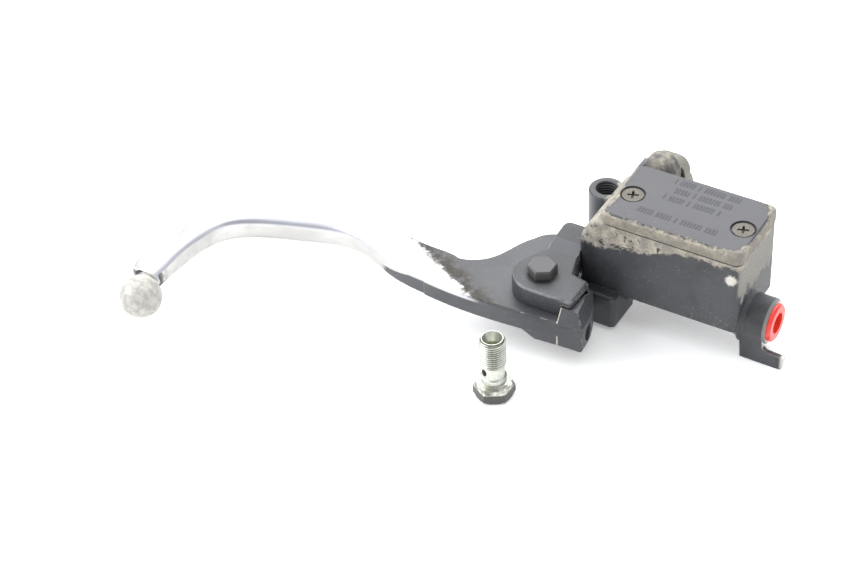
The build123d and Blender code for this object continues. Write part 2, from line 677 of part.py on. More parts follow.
def pivot_bolt():
    head = hexagon_z(PIVOT_X, PIVOT_Y, EAR_TOP, EAR_TOP + 3.8, PIVOT_FLATS, turn=30)
    head = chamfer(rim_edges(head, EAR_TOP + 3.8), 0.5)
    shank = rod_z(PIVOT_X, PIVOT_Y, LOWER_EAR_TOP, EAR_TOP, PIVOT_RADIUS - 0.02)
    thread = rod_z(PIVOT_X, PIVOT_Y, LOWER_EAR_BOTTOM - 4.7, LOWER_EAR_TOP, PIVOT_THREAD_RADIUS)
    return head + shank + thread


def pivot_nut():
    nut = hexagon_z(PIVOT_X, PIVOT_Y, LOWER_EAR_BOTTOM - 5.0, LOWER_EAR_BOTTOM, PIVOT_FLATS)
    return nut - rod_z(PIVOT_X, PIVOT_Y, -40, 10, PIVOT_THREAD_RADIUS)


# ---- Hydraulic parts -----------------------------------------------------------------------------
def piston():
    stations = [
        (PISTON_START, 2.6),
        (PISTON_START + 0.9, ROD_RADIUS),
        (-17.6, ROD_RADIUS),
        (-17.6, 2.8),
        (-16.0, 2.8),
        (-16.0, ROD_RADIUS),
        (SHOULDER_X, ROD_RADIUS),
        (SHOULDER_X, LAND_RADIUS),
        (SECONDARY_CUP_X, LAND_RADIUS),
        (SECONDARY_CUP_X, 3.4),
        (SECONDARY_CUP_X + SECONDARY_CUP_LENGTH, 3.4),
        (SECONDARY_CUP_X + SECONDARY_CUP_LENGTH, LAND_RADIUS),
        (6.5, LAND_RADIUS),
        (6.5, 3.6),
        (18.6, 3.6),
        (18.6, LAND_RADIUS),
        (PRIMARY_CUP_X, LAND_RADIUS),
        (PRIMARY_CUP_X, 2.4),
        (23.6, 2.4),
    ]
    return on_cylinder_axis(turned(stations))


def lip_cup(x_low, length, inner):
    """Rubber cup on the piston with its lip facing the pressure side."""
    x_high = x_low + length
    stations = [
        (x_low, LAND_RADIUS - 0.4),
        (x_high - 1.2, LAND_RADIUS + 0.02),
        (x_high, LAND_RADIUS + 0.03),
        (x_high, LAND_RADIUS - 0.7),
        (x_low + 1.4, inner + 0.8),
        (x_low + 1.4, inner),
        (x_low, inner),
    ]
    outline = Polyline(*stations, close=True)
    return on_cylinder_axis(revolve(make_face(outline), Axis.X))


def primary_cup():
    return lip_cup(PRIMARY_CUP_X, PRIMARY_CUP_LENGTH, 2.4)


def secondary_cup():
    return lip_cup(SECONDARY_CUP_X, SECONDARY_CUP_LENGTH, 3.4)


def return_spring():
    """Closed coil between the primary cup and the blind end of the bore."""
    start = PRIMARY_CUP_X + PRIMARY_CUP_LENGTH + 0.1 + SPRING_WIRE
    helix = Helix(SPRING_LENGTH / SPRING_TURNS, SPRING_LENGTH, SPRING_COIL)
    profile = Plane(origin=helix @ 0, z_dir=helix % 0) * Circle(SPRING_WIRE)
    coiled = sweep(profile, path=helix, is_frenet=True)
    return on_cylinder_axis(Pos(start, 0, 0) * Rot(0, 90, 0) * coiled)


def stop_washer():
    ring = rod_x(SHOULDER_X - 1.0, SHOULDER_X, 7.4)
    return ring - rod_x(-10, 10, 3.8)


def circlip():
    """Retaining ring, open by one gap, with two plier eyes."""
    x_low, x_high = CIRCLIP_X, CIRCLIP_X + CIRCLIP_THICKNESS
    ring = rod_x(x_low, x_high, 8.0) - rod_x(-10, 10, 6.3)
    for side in (-1, 1):
        eye_y, eye_z = CYLINDER_Y + side * 2.1, CYLINDER_Z - 5.9
        ring += rod_x(x_low, x_high, 1.5, eye_y, eye_z)
        ring -= rod_x(-10, 10, 0.6, eye_y, eye_z)
    return ring - block((-10, 10), (CYLINDER_Y - 0.6, CYLINDER_Y + 0.6), (-20, CYLINDER_Z))


def dust_boot():
    """Bellows from the barrel's mouth to a groove near the piston's end."""
    outer = [(-3.3, 7.3), (-8.0, 7.3), (-8.0, 6.6)]
    inner = []
    folds = 3
    for fold in range(folds):
        x = -8.6 - fold * 2.9
        outer += [(x, 5.2), (x - 1.5, 6.4 - 0.3 * fold)]
        inner += [(x + 0.1, 4.1), (x - 1.5, 5.2 - 0.3 * fold)]
    outer += [(-17.5, 4.4), (-17.5, 2.9)]
    outline = outer + [(-16.1, 2.9), (-16.1, 3.7)] + inner[::-1] + [(-8.0, 5.2), (-3.3, 6.2)]
    return on_cylinder_axis(revolve(make_face(Polyline(*outline, close=True)), Axis.X))


def port_plug():
    """Red transport plug, hollow from outside and shut at its inner end."""
    stations = [
        (PORT_X - 9.0, PORT_THREAD_RADIUS - 0.26),
        (PORT_X, PORT_THREAD_RADIUS - 0.06),
        (PORT_X, 7.6),
        (PORT_X + 1.0, 7.6),
        (PORT_X + 1.7, 6.9),
        (PORT_X + 1.7, 4.2),
        (PORT_X - 0.4, 4.0),
        (PORT_X - 1.4, 3.2),
        (PORT_X - 7.6, 3.0),
    ]
    outline = Polyline((PORT_X - 9.0, 0), *stations, (PORT_X - 7.6, 0), close=True)
    return on_cylinder_axis(revolve(make_face(outline), Axis.X))


# ---- Hollow hose bolt --------------------------------------------------------------------------------
def banjo_bolt():
    """Hexagon head, collar, necked shank with a cross hole, and a coned mouth."""
    head = hexagon_z(0, 0, 0, HEX_HEIGHT, HEX_FLATS, turn=30)
    head = chamfer(rim_edges(head, 0), 0.7)
    stations = [
        (HEX_HEIGHT - 0.1, COLLAR_RADIUS),
        (COLLAR_TOP, COLLAR_RADIUS),
        (COLLAR_TOP, HOSE_BOLT_RADIUS),
        (9.0, HOSE_BOLT_RADIUS),
        (9.8, HOSE_BOLT_NECK),
        (14.4, HOSE_BOLT_NECK),
        (15.2, HOSE_BOLT_RADIUS),
        (HOSE_BOLT_LENGTH - 0.8, HOSE_BOLT_RADIUS),
        (HOSE_BOLT_LENGTH, HOSE_BOLT_RADIUS - 0.55),
    ]
    bolt = head + Rot(0, -90, 0) * turned(stations)
    bolt -= rod_z(0, 0, 9.0, HOSE_BOLT_LENGTH + 1.0, HOSE_BOLT_HOLE)
    bolt -= Pos(0, 0, HOSE_BOLT_LENGTH - 1.9) * Cone(HOSE_BOLT_HOLE, 4.1, 4.0)
    cross = Cylinder(CROSS_HOLE_RADIUS, 20.0).moved(Location((0, CROSS_HOLE_Z, 0)))
    bolt -= Rot(90, 0, 30) * cross
    lean = Rot(math.degrees(math.atan(SLOPE_Y)), 0, 0) * Rot(0, -math.degrees(math.atan(SLOPE_X)), 0)
    return Pos(STAND_X, STAND_Y, STAND_Z) * lean * bolt


# ---- Files ---------------------------------------------------------------------------------------------
NODES = {
    "body_casting": body_casting,
    "reservoir_cap": reservoir_cap,
    "cap_screws": cap_screws,
    "diaphragm_plate": diaphragm_plate,
    "diaphragm": diaphragm,
    "port_baffle": port_baffle,
    "bar_clamp": bar_clamp,
    "clamp_bolts": clamp_bolts,
    "clamp_washers": clamp_washers,
    "pivot_bolt": pivot_bolt,
    "pivot_nut": pivot_nut,
    "pivot_bush": pivot_bush,
    "lever": lever,
    "piston": piston,
    "primary_cup": primary_cup,
    "secondary_cup": secondary_cup,
    "return_spring": return_spring,
    "stop_washer": stop_washer,
    "circlip": circlip,
    "dust_boot": dust_boot,
    "port_plug": port_plug,
    "banjo_bolt": banjo_bolt,
}

os.makedirs("parts", exist_ok=True)
for name, make in NODES.items():
    export_step(make(), f"parts/{name}.step")
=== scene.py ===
import json
import math
import bpy
from mathutils import Matrix, Vector


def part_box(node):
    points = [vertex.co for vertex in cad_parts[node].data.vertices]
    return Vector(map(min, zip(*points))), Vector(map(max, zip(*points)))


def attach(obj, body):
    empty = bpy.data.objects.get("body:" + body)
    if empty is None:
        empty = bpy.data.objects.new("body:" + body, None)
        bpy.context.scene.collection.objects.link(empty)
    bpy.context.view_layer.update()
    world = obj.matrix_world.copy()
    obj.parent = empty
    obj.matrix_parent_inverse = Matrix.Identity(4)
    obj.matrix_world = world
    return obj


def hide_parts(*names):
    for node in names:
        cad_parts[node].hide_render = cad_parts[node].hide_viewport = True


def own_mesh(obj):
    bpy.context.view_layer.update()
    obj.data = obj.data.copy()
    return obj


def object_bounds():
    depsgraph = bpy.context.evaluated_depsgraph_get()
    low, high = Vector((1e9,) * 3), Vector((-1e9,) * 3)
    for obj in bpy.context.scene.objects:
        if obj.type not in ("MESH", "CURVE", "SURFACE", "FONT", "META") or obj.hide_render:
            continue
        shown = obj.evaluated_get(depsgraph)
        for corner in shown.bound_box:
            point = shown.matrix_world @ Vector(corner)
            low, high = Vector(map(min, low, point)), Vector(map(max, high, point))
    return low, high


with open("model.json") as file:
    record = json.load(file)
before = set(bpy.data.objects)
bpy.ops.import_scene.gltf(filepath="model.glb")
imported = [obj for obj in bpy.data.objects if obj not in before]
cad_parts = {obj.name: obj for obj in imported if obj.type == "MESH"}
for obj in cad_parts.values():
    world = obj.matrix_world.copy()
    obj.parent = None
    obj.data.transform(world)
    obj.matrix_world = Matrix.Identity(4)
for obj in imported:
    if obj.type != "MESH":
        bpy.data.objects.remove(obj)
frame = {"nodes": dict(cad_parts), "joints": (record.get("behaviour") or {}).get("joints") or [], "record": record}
cad_low, cad_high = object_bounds()

# Looks for a brake master cylinder lying on a pale table. The frame is in metres:
# +X along the handlebar to the hose outlet, +Y to the rider, +Z up.
MM = 0.001


# ---- Places read from the frame --------------------------------------------------------
def box_mm(node):
    """Lowest and highest corner of a CAD node, in millimetres."""
    low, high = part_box(node)
    return low / MM, high / MM


LID_LOW, LID_HIGH = box_mm("reservoir_cap")
SEAL_LOW, SEAL_HIGH = box_mm("diaphragm")
SCREWS_LOW, SCREWS_HIGH = box_mm("cap_screws")
PLUG_LOW, PLUG_HIGH = box_mm("port_plug")
BOLT_LOW, BOLT_HIGH = box_mm("pivot_bolt")
LEVER_LOW = box_mm("lever")[0]
CAST_LOW, CAST_HIGH = box_mm("body_casting")
BOOT_LOW, BOOT_HIGH = box_mm("dust_boot")

RIM = LID_LOW.z
PIVOT = (BOLT_LOW + BOLT_HIGH) / 2
CYLINDER = (PLUG_LOW + PLUG_HIGH) / 2
BALL_RADIUS = 8.4


def ball_centre():
    """The ball is the lever's foremost part, so its foremost vertices give its centre."""
    points = [vertex.co / MM for vertex in frame["nodes"]["lever"].data.vertices]
    foremost = [point for point in points if point.y < LEVER_LOW.y + 0.3]
    middle = sum(foremost, Vector((0, 0, 0))) / len(foremost)
    return Vector((middle.x, LEVER_LOW.y + BALL_RADIUS, middle.z))


BALL = ball_centre()
JOINTS = {joint["name"]: joint for joint in frame["joints"]}
MOUNTS = {mount["name"]: mount for mount in frame["record"]["mounts"]}
MIRROR = Vector(MOUNTS["mirror_thread"]["pos_m"]) / MM
MIRROR_PITCH = 1.25

# The lever's flat top, where its worn metal meets the rear and front edges, and the left
# end of the hump on its heel.
LEVER_TOP = -3.6
WORN_REAR = Vector((-78.4, -60.2, LEVER_TOP))
WORN_FRONT = Vector((-43.3, -79.3, LEVER_TOP))
HUMP_LEFT = -4.8


# ---- Shader building blocks ------------------------------------------------------------
def srgb(red, green, blue):
    """Display colour (0 to 255) as the linear colour Blender wants."""

    def linear(value):
        value = value / 255
        return value / 12.92 if value <= 0.04045 else ((value + 0.055) / 1.055) ** 2.4

    return (linear(red), linear(green), linear(blue), 1.0)


class Shader:
    """One material. Each method adds nodes and returns the output they end in."""

    def __init__(self, name):
        self.material = bpy.data.materials.new(name)
        self.material.use_nodes = True
        self.tree = self.material.node_tree
        self.tree.nodes.clear()
        self.normal = None
        coordinates = self.node("ShaderNodeTexCoord").outputs["Object"]
        scaled = self.node("ShaderNodeVectorMath", operation="SCALE")
        self.feed(scaled.inputs[0], coordinates)
        scaled.inputs["Scale"].default_value = 1 / MM
        self.place = scaled.outputs[0]
        split = self.node("ShaderNodeSeparateXYZ")
        self.feed(split.inputs[0], self.place)
        self.x, self.y, self.z = split.outputs
        facing = self.node("ShaderNodeSeparateXYZ")
        self.feed(facing.inputs[0], self.node("ShaderNodeNewGeometry").outputs["Normal"])
        self.facing_x, self.facing_y, self.facing_z = facing.outputs

    def node(self, kind, **settings):
        made = self.tree.nodes.new(kind)
        for key, value in settings.items():
            setattr(made, key, value)
        return made

    def feed(self, socket, value):
        """Links an output to the socket, or sets the socket to a plain value."""
        if isinstance(value, bpy.types.NodeSocket):
            self.tree.links.new(value, socket)
        else:
            socket.default_value = value

    def math(self, operation, a, b=0.0):
        made = self.node("ShaderNodeMath", operation=operation)
        self.feed(made.inputs[0], a)
        self.feed(made.inputs[1], b)
        return made.outputs[0]

    def add(self, a, b):
        return self.math("ADD", a, b)

    def less(self, a, b):
        return self.math("SUBTRACT", a, b)

    def times(self, a, b):
        return self.math("MULTIPLY", a, b)

    def low(self, *values):
        result = values[0]
        for value in values[1:]:
            result = self.math("MINIMUM", result, value)
        return result

    def high(self, *values):
        result = values[0]
        for value in values[1:]:
            result = self.math("MAXIMUM", result, value)
        return result

    def step(self, value, start, end):
        """0 before start, 1 after end, smooth between; start may be above end."""
        made = self.node("ShaderNodeMapRange", interpolation_type="SMOOTHSTEP")
        self.feed(made.inputs["Value"], value)
        made.inputs["From Min"].default_value = start
        made.inputs["From Max"].default_value = end
        return made.outputs["Result"]

    def band(self, value, start, end, soft):
        """1 between start and end, 0 outside."""
        rise = self.step(value, start - soft, start + soft)
        return self.times(rise, self.step(value, end + soft, end - soft))

    def noise(self, per_mm, detail=3.0, roughness=0.55, stretch=(1, 1, 1), seed=0.0):
        """Noise from 0 to 1 with that many features per millimetre."""
        moved = self.node("ShaderNodeMapping")
        self.feed(moved.inputs["Vector"], self.place)
        moved.inputs["Scale"].default_value = stretch
        moved.inputs["Location"].default_value = (seed, seed * 1.7, -seed)
        made = self.node("ShaderNodeTexNoise")
        self.feed(made.inputs["Vector"], moved.outputs[0])
        made.inputs["Scale"].default_value = per_mm
        made.inputs["Detail"].default_value = detail
        made.inputs["Roughness"].default_value = roughness
        return made.outputs[0]

    def mix(self, amount, a, b):
        made = self.node("ShaderNodeMix", data_type="RGBA")
        self.feed(made.inputs[0], amount)
        self.feed(made.inputs[6], a)
        self.feed(made.inputs[7], b)
        return made.outputs[2]

    def blend(self, amount, a, b):
        made = self.node("ShaderNodeMix", data_type="FLOAT")
        self.feed(made.inputs[0], amount)
        self.feed(made.inputs[2], a)
        self.feed(made.inputs[3], b)
        return made.outputs[0]

    def edges(self, radius_mm):
        """How sharply the surface turns within that radius: 0 on flats, near 1 on corners."""
        bevel = self.node("ShaderNodeBevel", samples=6)
        bevel.inputs["Radius"].default_value = radius_mm * MM
        dot = self.node("ShaderNodeVectorMath", operation="DOT_PRODUCT")
        self.feed(dot.inputs[0], bevel.outputs[0])
        self.feed(dot.inputs[1], self.node("ShaderNodeNewGeometry").outputs["Normal"])
        # An inner corner turns as sharply, but hardly any air reaches it.
        air = self.node("ShaderNodeAmbientOcclusion", samples=4)
        air.inputs["Distance"].default_value = 2 * radius_mm * MM
        outer = self.step(air.outputs["AO"], 0.72, 0.92)
        return self.times(self.step(dot.outputs["Value"], 0.995, 0.80), outer)

    def round_corners(self, radius_mm):
        bevel = self.node("ShaderNodeBevel", samples=6)
        bevel.inputs["Radius"].default_value = radius_mm * MM
        self.normal = bevel.outputs[0]

    def bump(self, height, depth_mm, strength=1.0):
        made = self.node("ShaderNodeBump")
        self.feed(made.inputs["Height"], height)
        made.inputs["Distance"].default_value = depth_mm * MM
        made.inputs["Strength"].default_value = strength
        if self.normal is not None:
            self.feed(made.inputs["Normal"], self.normal)
        self.normal = made.outputs[0]

    def from_axis(self, centre, across):
        """Distance in mm from a line through centre; across names the two axes measured."""
        own = {"x": self.x, "y": self.y, "z": self.z}
        squares = []
        for axis in across:
            away = self.less(own[axis], getattr(centre, axis))
            squares.append(self.times(away, away))
        return self.math("SQRT", self.add(*squares))

    def along_line(self, start, direction):
        """Distance in mm along a line from its start, and distance away from it."""
        away = self.node("ShaderNodeVectorMath", operation="SUBTRACT")
        self.feed(away.inputs[0], self.place)
        away.inputs[1].default_value = start
        along = self.node("ShaderNodeVectorMath", operation="DOT_PRODUCT")
        self.feed(along.inputs[0], away.outputs[0])
        along.inputs[1].default_value = direction
        length = self.node("ShaderNodeVectorMath", operation="LENGTH")
        self.feed(length.inputs[0], away.outputs[0])
        whole = self.times(length.outputs["Value"], length.outputs["Value"])
        height = along.outputs["Value"]
        return height, self.math("SQRT", self.less(whole, self.times(height, height)))

    def finish(self, colour, roughness, metallic=0.0, specular=0.5, coat=0.0, glow=0.0):
        surface = self.node("ShaderNodeBsdfPrincipled")
        surface.inputs["Emission Color"].default_value = (1, 1, 1, 1)
        surface.inputs["Emission Strength"].default_value = glow
        self.feed(surface.inputs["Base Color"], colour)
        self.feed(surface.inputs["Roughness"], roughness)
        self.feed(surface.inputs["Metallic"], metallic)
        self.feed(surface.inputs["Specular IOR Level"], specular)
        self.feed(surface.inputs["Coat Weight"], coat)
        if self.normal is not None:
            self.feed(surface.inputs["Normal"], self.normal)
        output = self.node("ShaderNodeOutputMaterial")
        self.feed(output.inputs["Surface"], surface.outputs[0])
        return self.material


def wear(obj, material):
    obj.data.materials.clear()
    obj.data.materials.append(material)


# ---- Materials -------------------------------------------------------------------------
PAINT = srgb(62, 64, 69)
PAINT_DARK = srgb(44, 45, 48)
BEIGE_LIGHT = srgb(172, 165, 152)
BEIGE_DARK = srgb(120, 113, 102)
WORN_GREY = srgb(132, 130, 125)
# Paint lightened as a painted highlight on lit slopes and sides.
PAINT_HIGHLIGHT = srgb(90, 92, 98)
BARE_METAL = srgb(196, 195, 192)
GRIME = srgb(44, 38, 30)


def worn_alloy(s, seed):
    """Weathered bare casting: beige crust, brown stains and paler scuffs."""
    fine = s.noise(1.1, detail=5, roughness=0.65, seed=seed)
    broad = s.noise(0.22, detail=5, roughness=0.65, seed=seed + 5)
    shade = s.add(s.times(fine, 0.45), s.times(broad, 0.55))
    crust = s.mix(s.step(shade, 0.38, 0.62), BEIGE_DARK, BEIGE_LIGHT)
    crust = s.mix(s.times(s.step(broad, 0.58, 0.44), 0.5), crust, WORN_GREY)
    stain = s.step(s.noise(0.55, detail=5, roughness=0.7, seed=seed + 9), 0.60, 0.72)
    return s.mix(s.times(stain, 0.6), crust, GRIME)


def rim_band(s, grain):
    """Worn band under the lid, deep on the left shoulder and thin on the right."""
    ragged = s.add(s.times(s.noise(0.16, detail=5, roughness=0.7, seed=11), 9.0), s.times(grain, 4.0))
    depth = s.blend(s.step(s.x, 40.0, -4.0), 0.0, 9.5)
    below_rim = s.less(RIM, s.z)
    reach = s.add(s.less(depth, 3.6), ragged)
    on_box = s.times(s.step(s.x, -13.0, -12.0), s.step(s.z, 2.0, 6.0))
    band = s.times(s.step(s.less(reach, below_rim), -0.3, 0.6), on_box)
    chips = s.step(s.noise(0.34, detail=5, roughness=0.65, seed=21), 0.56, 0.60)
    return s.times(band, s.less(1.0, s.times(chips, s.step(below_rim, 1.5, 4.0))))


def outlet_side(s, streak):
    """The box's side by the outlet is rubbed through in streaks."""
    on_side = s.times(s.step(s.facing_x, 0.6, 0.9), s.step(s.x, LID_HIGH.x + 1.5, LID_HIGH.x + 0.5))
    keep = s.blend(s.step(s.z, -4.0, 16.0), 0.32, 0.76)
    return s.times(on_side, s.step(s.less(keep, streak), -0.05, 0.05))


def bare_clamp(s):
    """The bar clamp's front half is bare and stained."""
    area = s.times(s.step(s.y, -14.0, -10.0), s.step(s.z, 7.0, 11.0))
    return s.times(area, s.step(s.noise(0.16, detail=5, seed=9), 0.30, 0.46))


def rubbed_to_metal(s):
    """Corners, the end of the anti-rotation tab and the ring round the outlet."""
    rubbed = s.step(s.noise(0.3, detail=5, roughness=0.7, seed=17), 0.46, 0.60)
    corner = s.times(s.edges(0.9), s.blend(rubbed, 0.4, 1.0))
    tab_end = s.step(s.x, CAST_HIGH.x - 2.2, CAST_HIGH.x - 0.6)
    ring = s.times(s.step(s.facing_x, 0.6, 0.9), s.step(s.x, PLUG_HIGH.x - 3.2, PLUG_HIGH.x - 2.4))
    return s.high(s.times(corner, 0.75), tab_end, ring)


def deep_chip(s, grain, streak):
    """One chip to pale metal, a few millimetres wide, at the right of the box's front."""
    place = Vector((51.3, LID_LOW.y, 15.2))
    ragged = s.add(s.times(grain, 3.5), s.times(streak, 4.0))
    chip = s.step(s.add(s.from_axis(place, "xz"), ragged), 6.4, 5.6)
    return s.times(chip, s.step(s.facing_y, -0.3, -0.6))


def highlights_and_rim_wear(s, colour):
    """Painted highlights on the arm's front-up slopes and the mirror boss's sides, and a paler ear rim, partly
    painted highlight and partly rubbed paint.
    """
    # Painted highlight: arm slopes facing front and up, and the mirror boss's sides, are painted paler.
    on_arm = s.times(s.step(s.x, -6.0, -9.0), s.step(s.y, -36.0, -40.0))
    slope = s.times(s.step(s.facing_z, 0.55, 0.75), s.step(s.facing_z, 0.985, 0.94))
    slope = s.times(s.times(slope, s.step(s.facing_y, -0.12, -0.30)), on_arm)
    boss = s.times(s.step(s.from_axis(MIRROR, "xy"), 8.2, 7.6), s.step(s.facing_z, 0.6, 0.3))
    colour = s.mix(s.high(slope, boss), colour, PAINT_HIGHLIGHT)
    # The ear's rounded front rim is paler in patches: partly painted highlight where the rim catches light, partly
    # rubbed paint.
    ear_rim = s.times(s.step(s.y, -72.0, -74.0), s.band(s.facing_z, 0.45, 0.97, 0.06))
    ear_rim = s.times(ear_rim, s.step(s.noise(0.35, detail=5, seed=37), 0.34, 0.56))
    return s.mix(s.times(ear_rim, 0.7), colour, srgb(116, 117, 123))


def casting_paint():
    """Black satin paint, worn to beige metal round the rim, on the clamp and on corners."""
    s = Shader("casting_paint")
    s.round_corners(0.5)
    cloud = s.noise(0.05, detail=4)
    speckle = s.noise(0.9, detail=4, seed=3)
    grain = s.noise(2.6, detail=5, roughness=0.7, seed=7)
    streak = s.noise(0.30, detail=6, roughness=0.75, stretch=(1, 1, 0.4), seed=5)
    rim_wear = rim_band(s, grain)
    side_wear = outlet_side(s, streak)
    clamp_wear = bare_clamp(s)
    chip = deep_chip(s, grain, streak)
    metal = rubbed_to_metal(s)

    colour = s.mix(s.step(cloud, 0.35, 0.65), PAINT_DARK, PAINT)
    colour = s.mix(s.times(s.step(speckle, 0.60, 0.74), 0.3), colour, WORN_GREY)
    colour = highlights_and_rim_wear(s, colour)
    # Painted shadow: a near-black ring on the ear round the pivot bolt's head.
    pivot_head_shade = s.times(s.band(s.from_axis(PIVOT, "xy"), 4.6, 7.0, 0.6), s.step(s.facing_z, 0.8, 0.95))
    colour = s.mix(s.times(pivot_head_shade, 0.85), colour, srgb(20, 20, 21))
    crust = worn_alloy(s, 13)
    pale = s.mix(s.step(grain, 0.35, 0.65), srgb(112, 110, 106), srgb(152, 150, 143))
    colour = s.mix(side_wear, colour, pale)
    colour = s.mix(rim_wear, colour, crust)
    clamp_tone = s.mix(s.step(s.noise(0.12, detail=4, seed=51), 0.44, 0.64), srgb(88, 87, 88), crust)
    colour = s.mix(clamp_wear, colour, clamp_tone)
    colour = s.mix(chip, colour, srgb(205, 202, 194))
    colour = s.mix(metal, colour, BARE_METAL)

    # Speckled dirt low on the front.
    low_dirt = s.times(s.step(s.z, 2.0, -7.0), s.band(s.x, 34.0, 53.0, 8.0))
    low_dirt = s.times(low_dirt, s.step(speckle, 0.58, 0.68))
    colour = s.mix(s.times(low_dirt, 0.5), colour, srgb(140, 132, 116))

    # Thread in the mirror hole; its wall is painted one flat grey as the shade inside the hole.
    in_hole = s.step(s.from_axis(MIRROR, "xy"), 4.7, 4.5)
    colour = s.mix(in_hole, colour, srgb(84, 84, 88))
    thread = s.math("SINE", s.times(s.z, 2 * math.pi / MIRROR_PITCH))
    s.bump(s.times(thread, in_hole), 0.35)
    worn = s.high(rim_wear, clamp_wear, side_wear, chip)
    s.bump(s.less(s.times(grain, 0.6), worn), 0.14)
    roughness = s.blend(worn, s.blend(cloud, 0.34, 0.50), 0.72)
    return s.finish(colour, roughness, s.times(metal, 0.8))


def cap_paint():
    """Grey satin lid, its edges and corners chipped to beige, with raised strokes on top."""
    s = Shader("cap_paint")
    s.round_corners(0.5)
    grain = s.noise(2.4, detail=5, roughness=0.7)
    rag = s.noise(0.40, detail=6, roughness=0.8, seed=4)
    to_left = s.less(s.x, LID_LOW.x)
    to_right = s.less(LID_HIGH.x, s.x)
    to_front = s.less(s.y, LID_LOW.y)
    to_back = s.less(LID_HIGH.y, s.y)
    inset = s.low(to_left, to_right, to_front, to_back)
    # The paint is gone furthest at two corners and halfway along the left end.
    left_end = s.add(to_left, s.math("ABSOLUTE", s.less(to_front, 11.0)))
    corners = s.low(s.add(to_right, to_back), s.add(to_right, to_front), left_end)
    corner_reach = s.times(s.step(corners, 13.0, 4.0), 3.0)
    front_reach = s.times(s.step(to_front, 4.0, 1.5), 0.9)
    reach = s.add(s.times(s.less(rag, 0.5), 10.0), s.add(corner_reach, front_reach))
    chipped = s.step(s.less(reach, inset), -0.15, 0.15)
    side = s.step(s.less(LID_HIGH.z, s.z), 0.35, 0.8)
    side_rag = s.add(s.noise(0.25, detail=5, seed=8), s.times(grain, 0.3))
    side = s.times(side, s.step(side_rag, 0.42, 0.58))
    worn = s.high(chipped, s.times(side, s.step(inset, 4.0, 2.0)))
    scuff = s.noise(0.5, detail=6, roughness=0.75, seed=31)
    top = s.mix(s.noise(0.05, detail=3, seed=2), srgb(66, 66, 71), srgb(74, 74, 80))
    top = s.mix(s.times(s.step(scuff, 0.58, 0.70), 0.25), top, WORN_GREY)
    crust = worn_alloy(s, 40)
    # Painted shade: the crust is darker lower down the lid's sides.
    crust = s.mix(s.times(s.step(s.less(LID_HIGH.z, s.z), 0.8, 1.6), 0.4), crust, srgb(112, 104, 94))
    colour = s.mix(worn, top, crust)

    # The strokes stand where a lid carries its filling note.
    marks = raised_marks(s)
    screw_recess_shade = shade_round_screws(s)
    # Painted shade: the raised strokes are the lid's own paint, painted darker as their shading.
    colour = s.mix(s.times(marks, 0.45), colour, srgb(40, 40, 44))
    # Painted shade in the recess round each screw head.
    colour = s.mix(screw_recess_shade, colour, srgb(40, 38, 37))
    s.bump(marks, 0.25)
    s.bump(s.less(s.times(grain, 0.4), worn), 0.14)
    return s.finish(colour, s.blend(worn, 0.42, 0.75))


MARK_MARGIN = 8.5  # from the lid's front edge to the middle of the first row
MARK_HEIGHT = 2.9
MARKS_PER_MM = 0.8
ROW_STEP = 5.2
FIRST_GAP = 11.0
FIRST_ROW = (17.5, 16.5)  # reach left and right of the lid's middle
BACK_ROWS = ((12.0, 11.5), (11.0, 14.0), (11.5, 16.5))


def raised_marks(s):
    """Rows of upright strokes, some left out at random, that spell nothing."""
    middle = (LID_LOW.x + LID_HIGH.x) / 2
    front = LID_LOW.y + MARK_MARGIN
    rows = [(front, middle - FIRST_ROW[0], middle + FIRST_ROW[1])]
    for k, (left, right) in enumerate(BACK_ROWS):
        rows.append((front + FIRST_GAP + k * ROW_STEP, middle - left, middle + right))
    cell = s.math("FLOOR", s.times(s.x, MARKS_PER_MM))
    chance = s.node("ShaderNodeTexWhiteNoise", noise_dimensions="1D")
    s.feed(chance.inputs["W"], cell)
    inked = s.step(chance.outputs["Value"], 0.22, 0.23)
    across = s.math("FRACT", s.times(s.x, MARKS_PER_MM))
    stroke = s.band(across, 0.22, 0.74, 0.08)
    marks = 0.0
    for y_middle, x_low, x_high in rows:
        row = s.band(s.y, y_middle - MARK_HEIGHT / 2, y_middle + MARK_HEIGHT / 2, 0.12)
        row = s.times(row, s.band(s.x, x_low, x_high, 0.1))
        marks = s.high(marks, s.times(row, s.times(stroke, inked)))
    return s.times(marks, s.step(s.facing_z, 0.7, 0.9))


def screw_places():
    """Centres of the two lid screws, and the radius of their heads."""
    y = (SCREWS_LOW.y + SCREWS_HIGH.y) / 2
    head = (SCREWS_HIGH.y - SCREWS_LOW.y) / 2
    return [Vector((SCREWS_LOW.x + head, y, 0)), Vector((SCREWS_HIGH.x - head, y, 0))], head


def shade_round_screws(s):
    """Painted shade in the recess round each screw head."""
    places, head = screw_places()
    rings = [s.step(s.from_axis(place, "xy"), head + 0.75, head + 0.55) for place in places]
    return s.high(*rings)


def screw_zinc():
    """Dull plated lid screws, darker brown in their crosses."""
    s = Shader("screw_zinc")
    s.round_corners(0.2)
    grain = s.noise(1.4, detail=5, roughness=0.7)
    colour = s.mix(s.step(grain, 0.35, 0.7), srgb(84, 80, 73), srgb(124, 119, 109))
    places, _ = screw_places()
    near = s.low(*[s.from_axis(place, "xy") for place in places])
    cross = s.times(s.step(near, 2.6, 2.1), s.step(s.z, SCREWS_HIGH.z - 0.12, SCREWS_HIGH.z - 0.3))
    colour = s.mix(s.times(cross, 0.7), colour, srgb(40, 35, 30))
    s.bump(grain, 0.08)
    return s.finish(colour, s.blend(grain, 0.45, 0.65), s.blend(cross, 0.25, 0.0))


def past_boundary(s, rag, grain):
    """How far a point on the top face lies on the painted side of the slanting boundary."""
    slope = (WORN_FRONT.x - WORN_REAR.x) / (WORN_FRONT.y - WORN_REAR.y)
    past = s.less(s.less(s.x, WORN_REAR.x), s.times(s.less(s.y, WORN_REAR.y), slope))
    return s.add(past, s.add(s.times(s.less(rag, 0.5), 14.0), s.times(s.less(grain, 0.5), 5.0)))


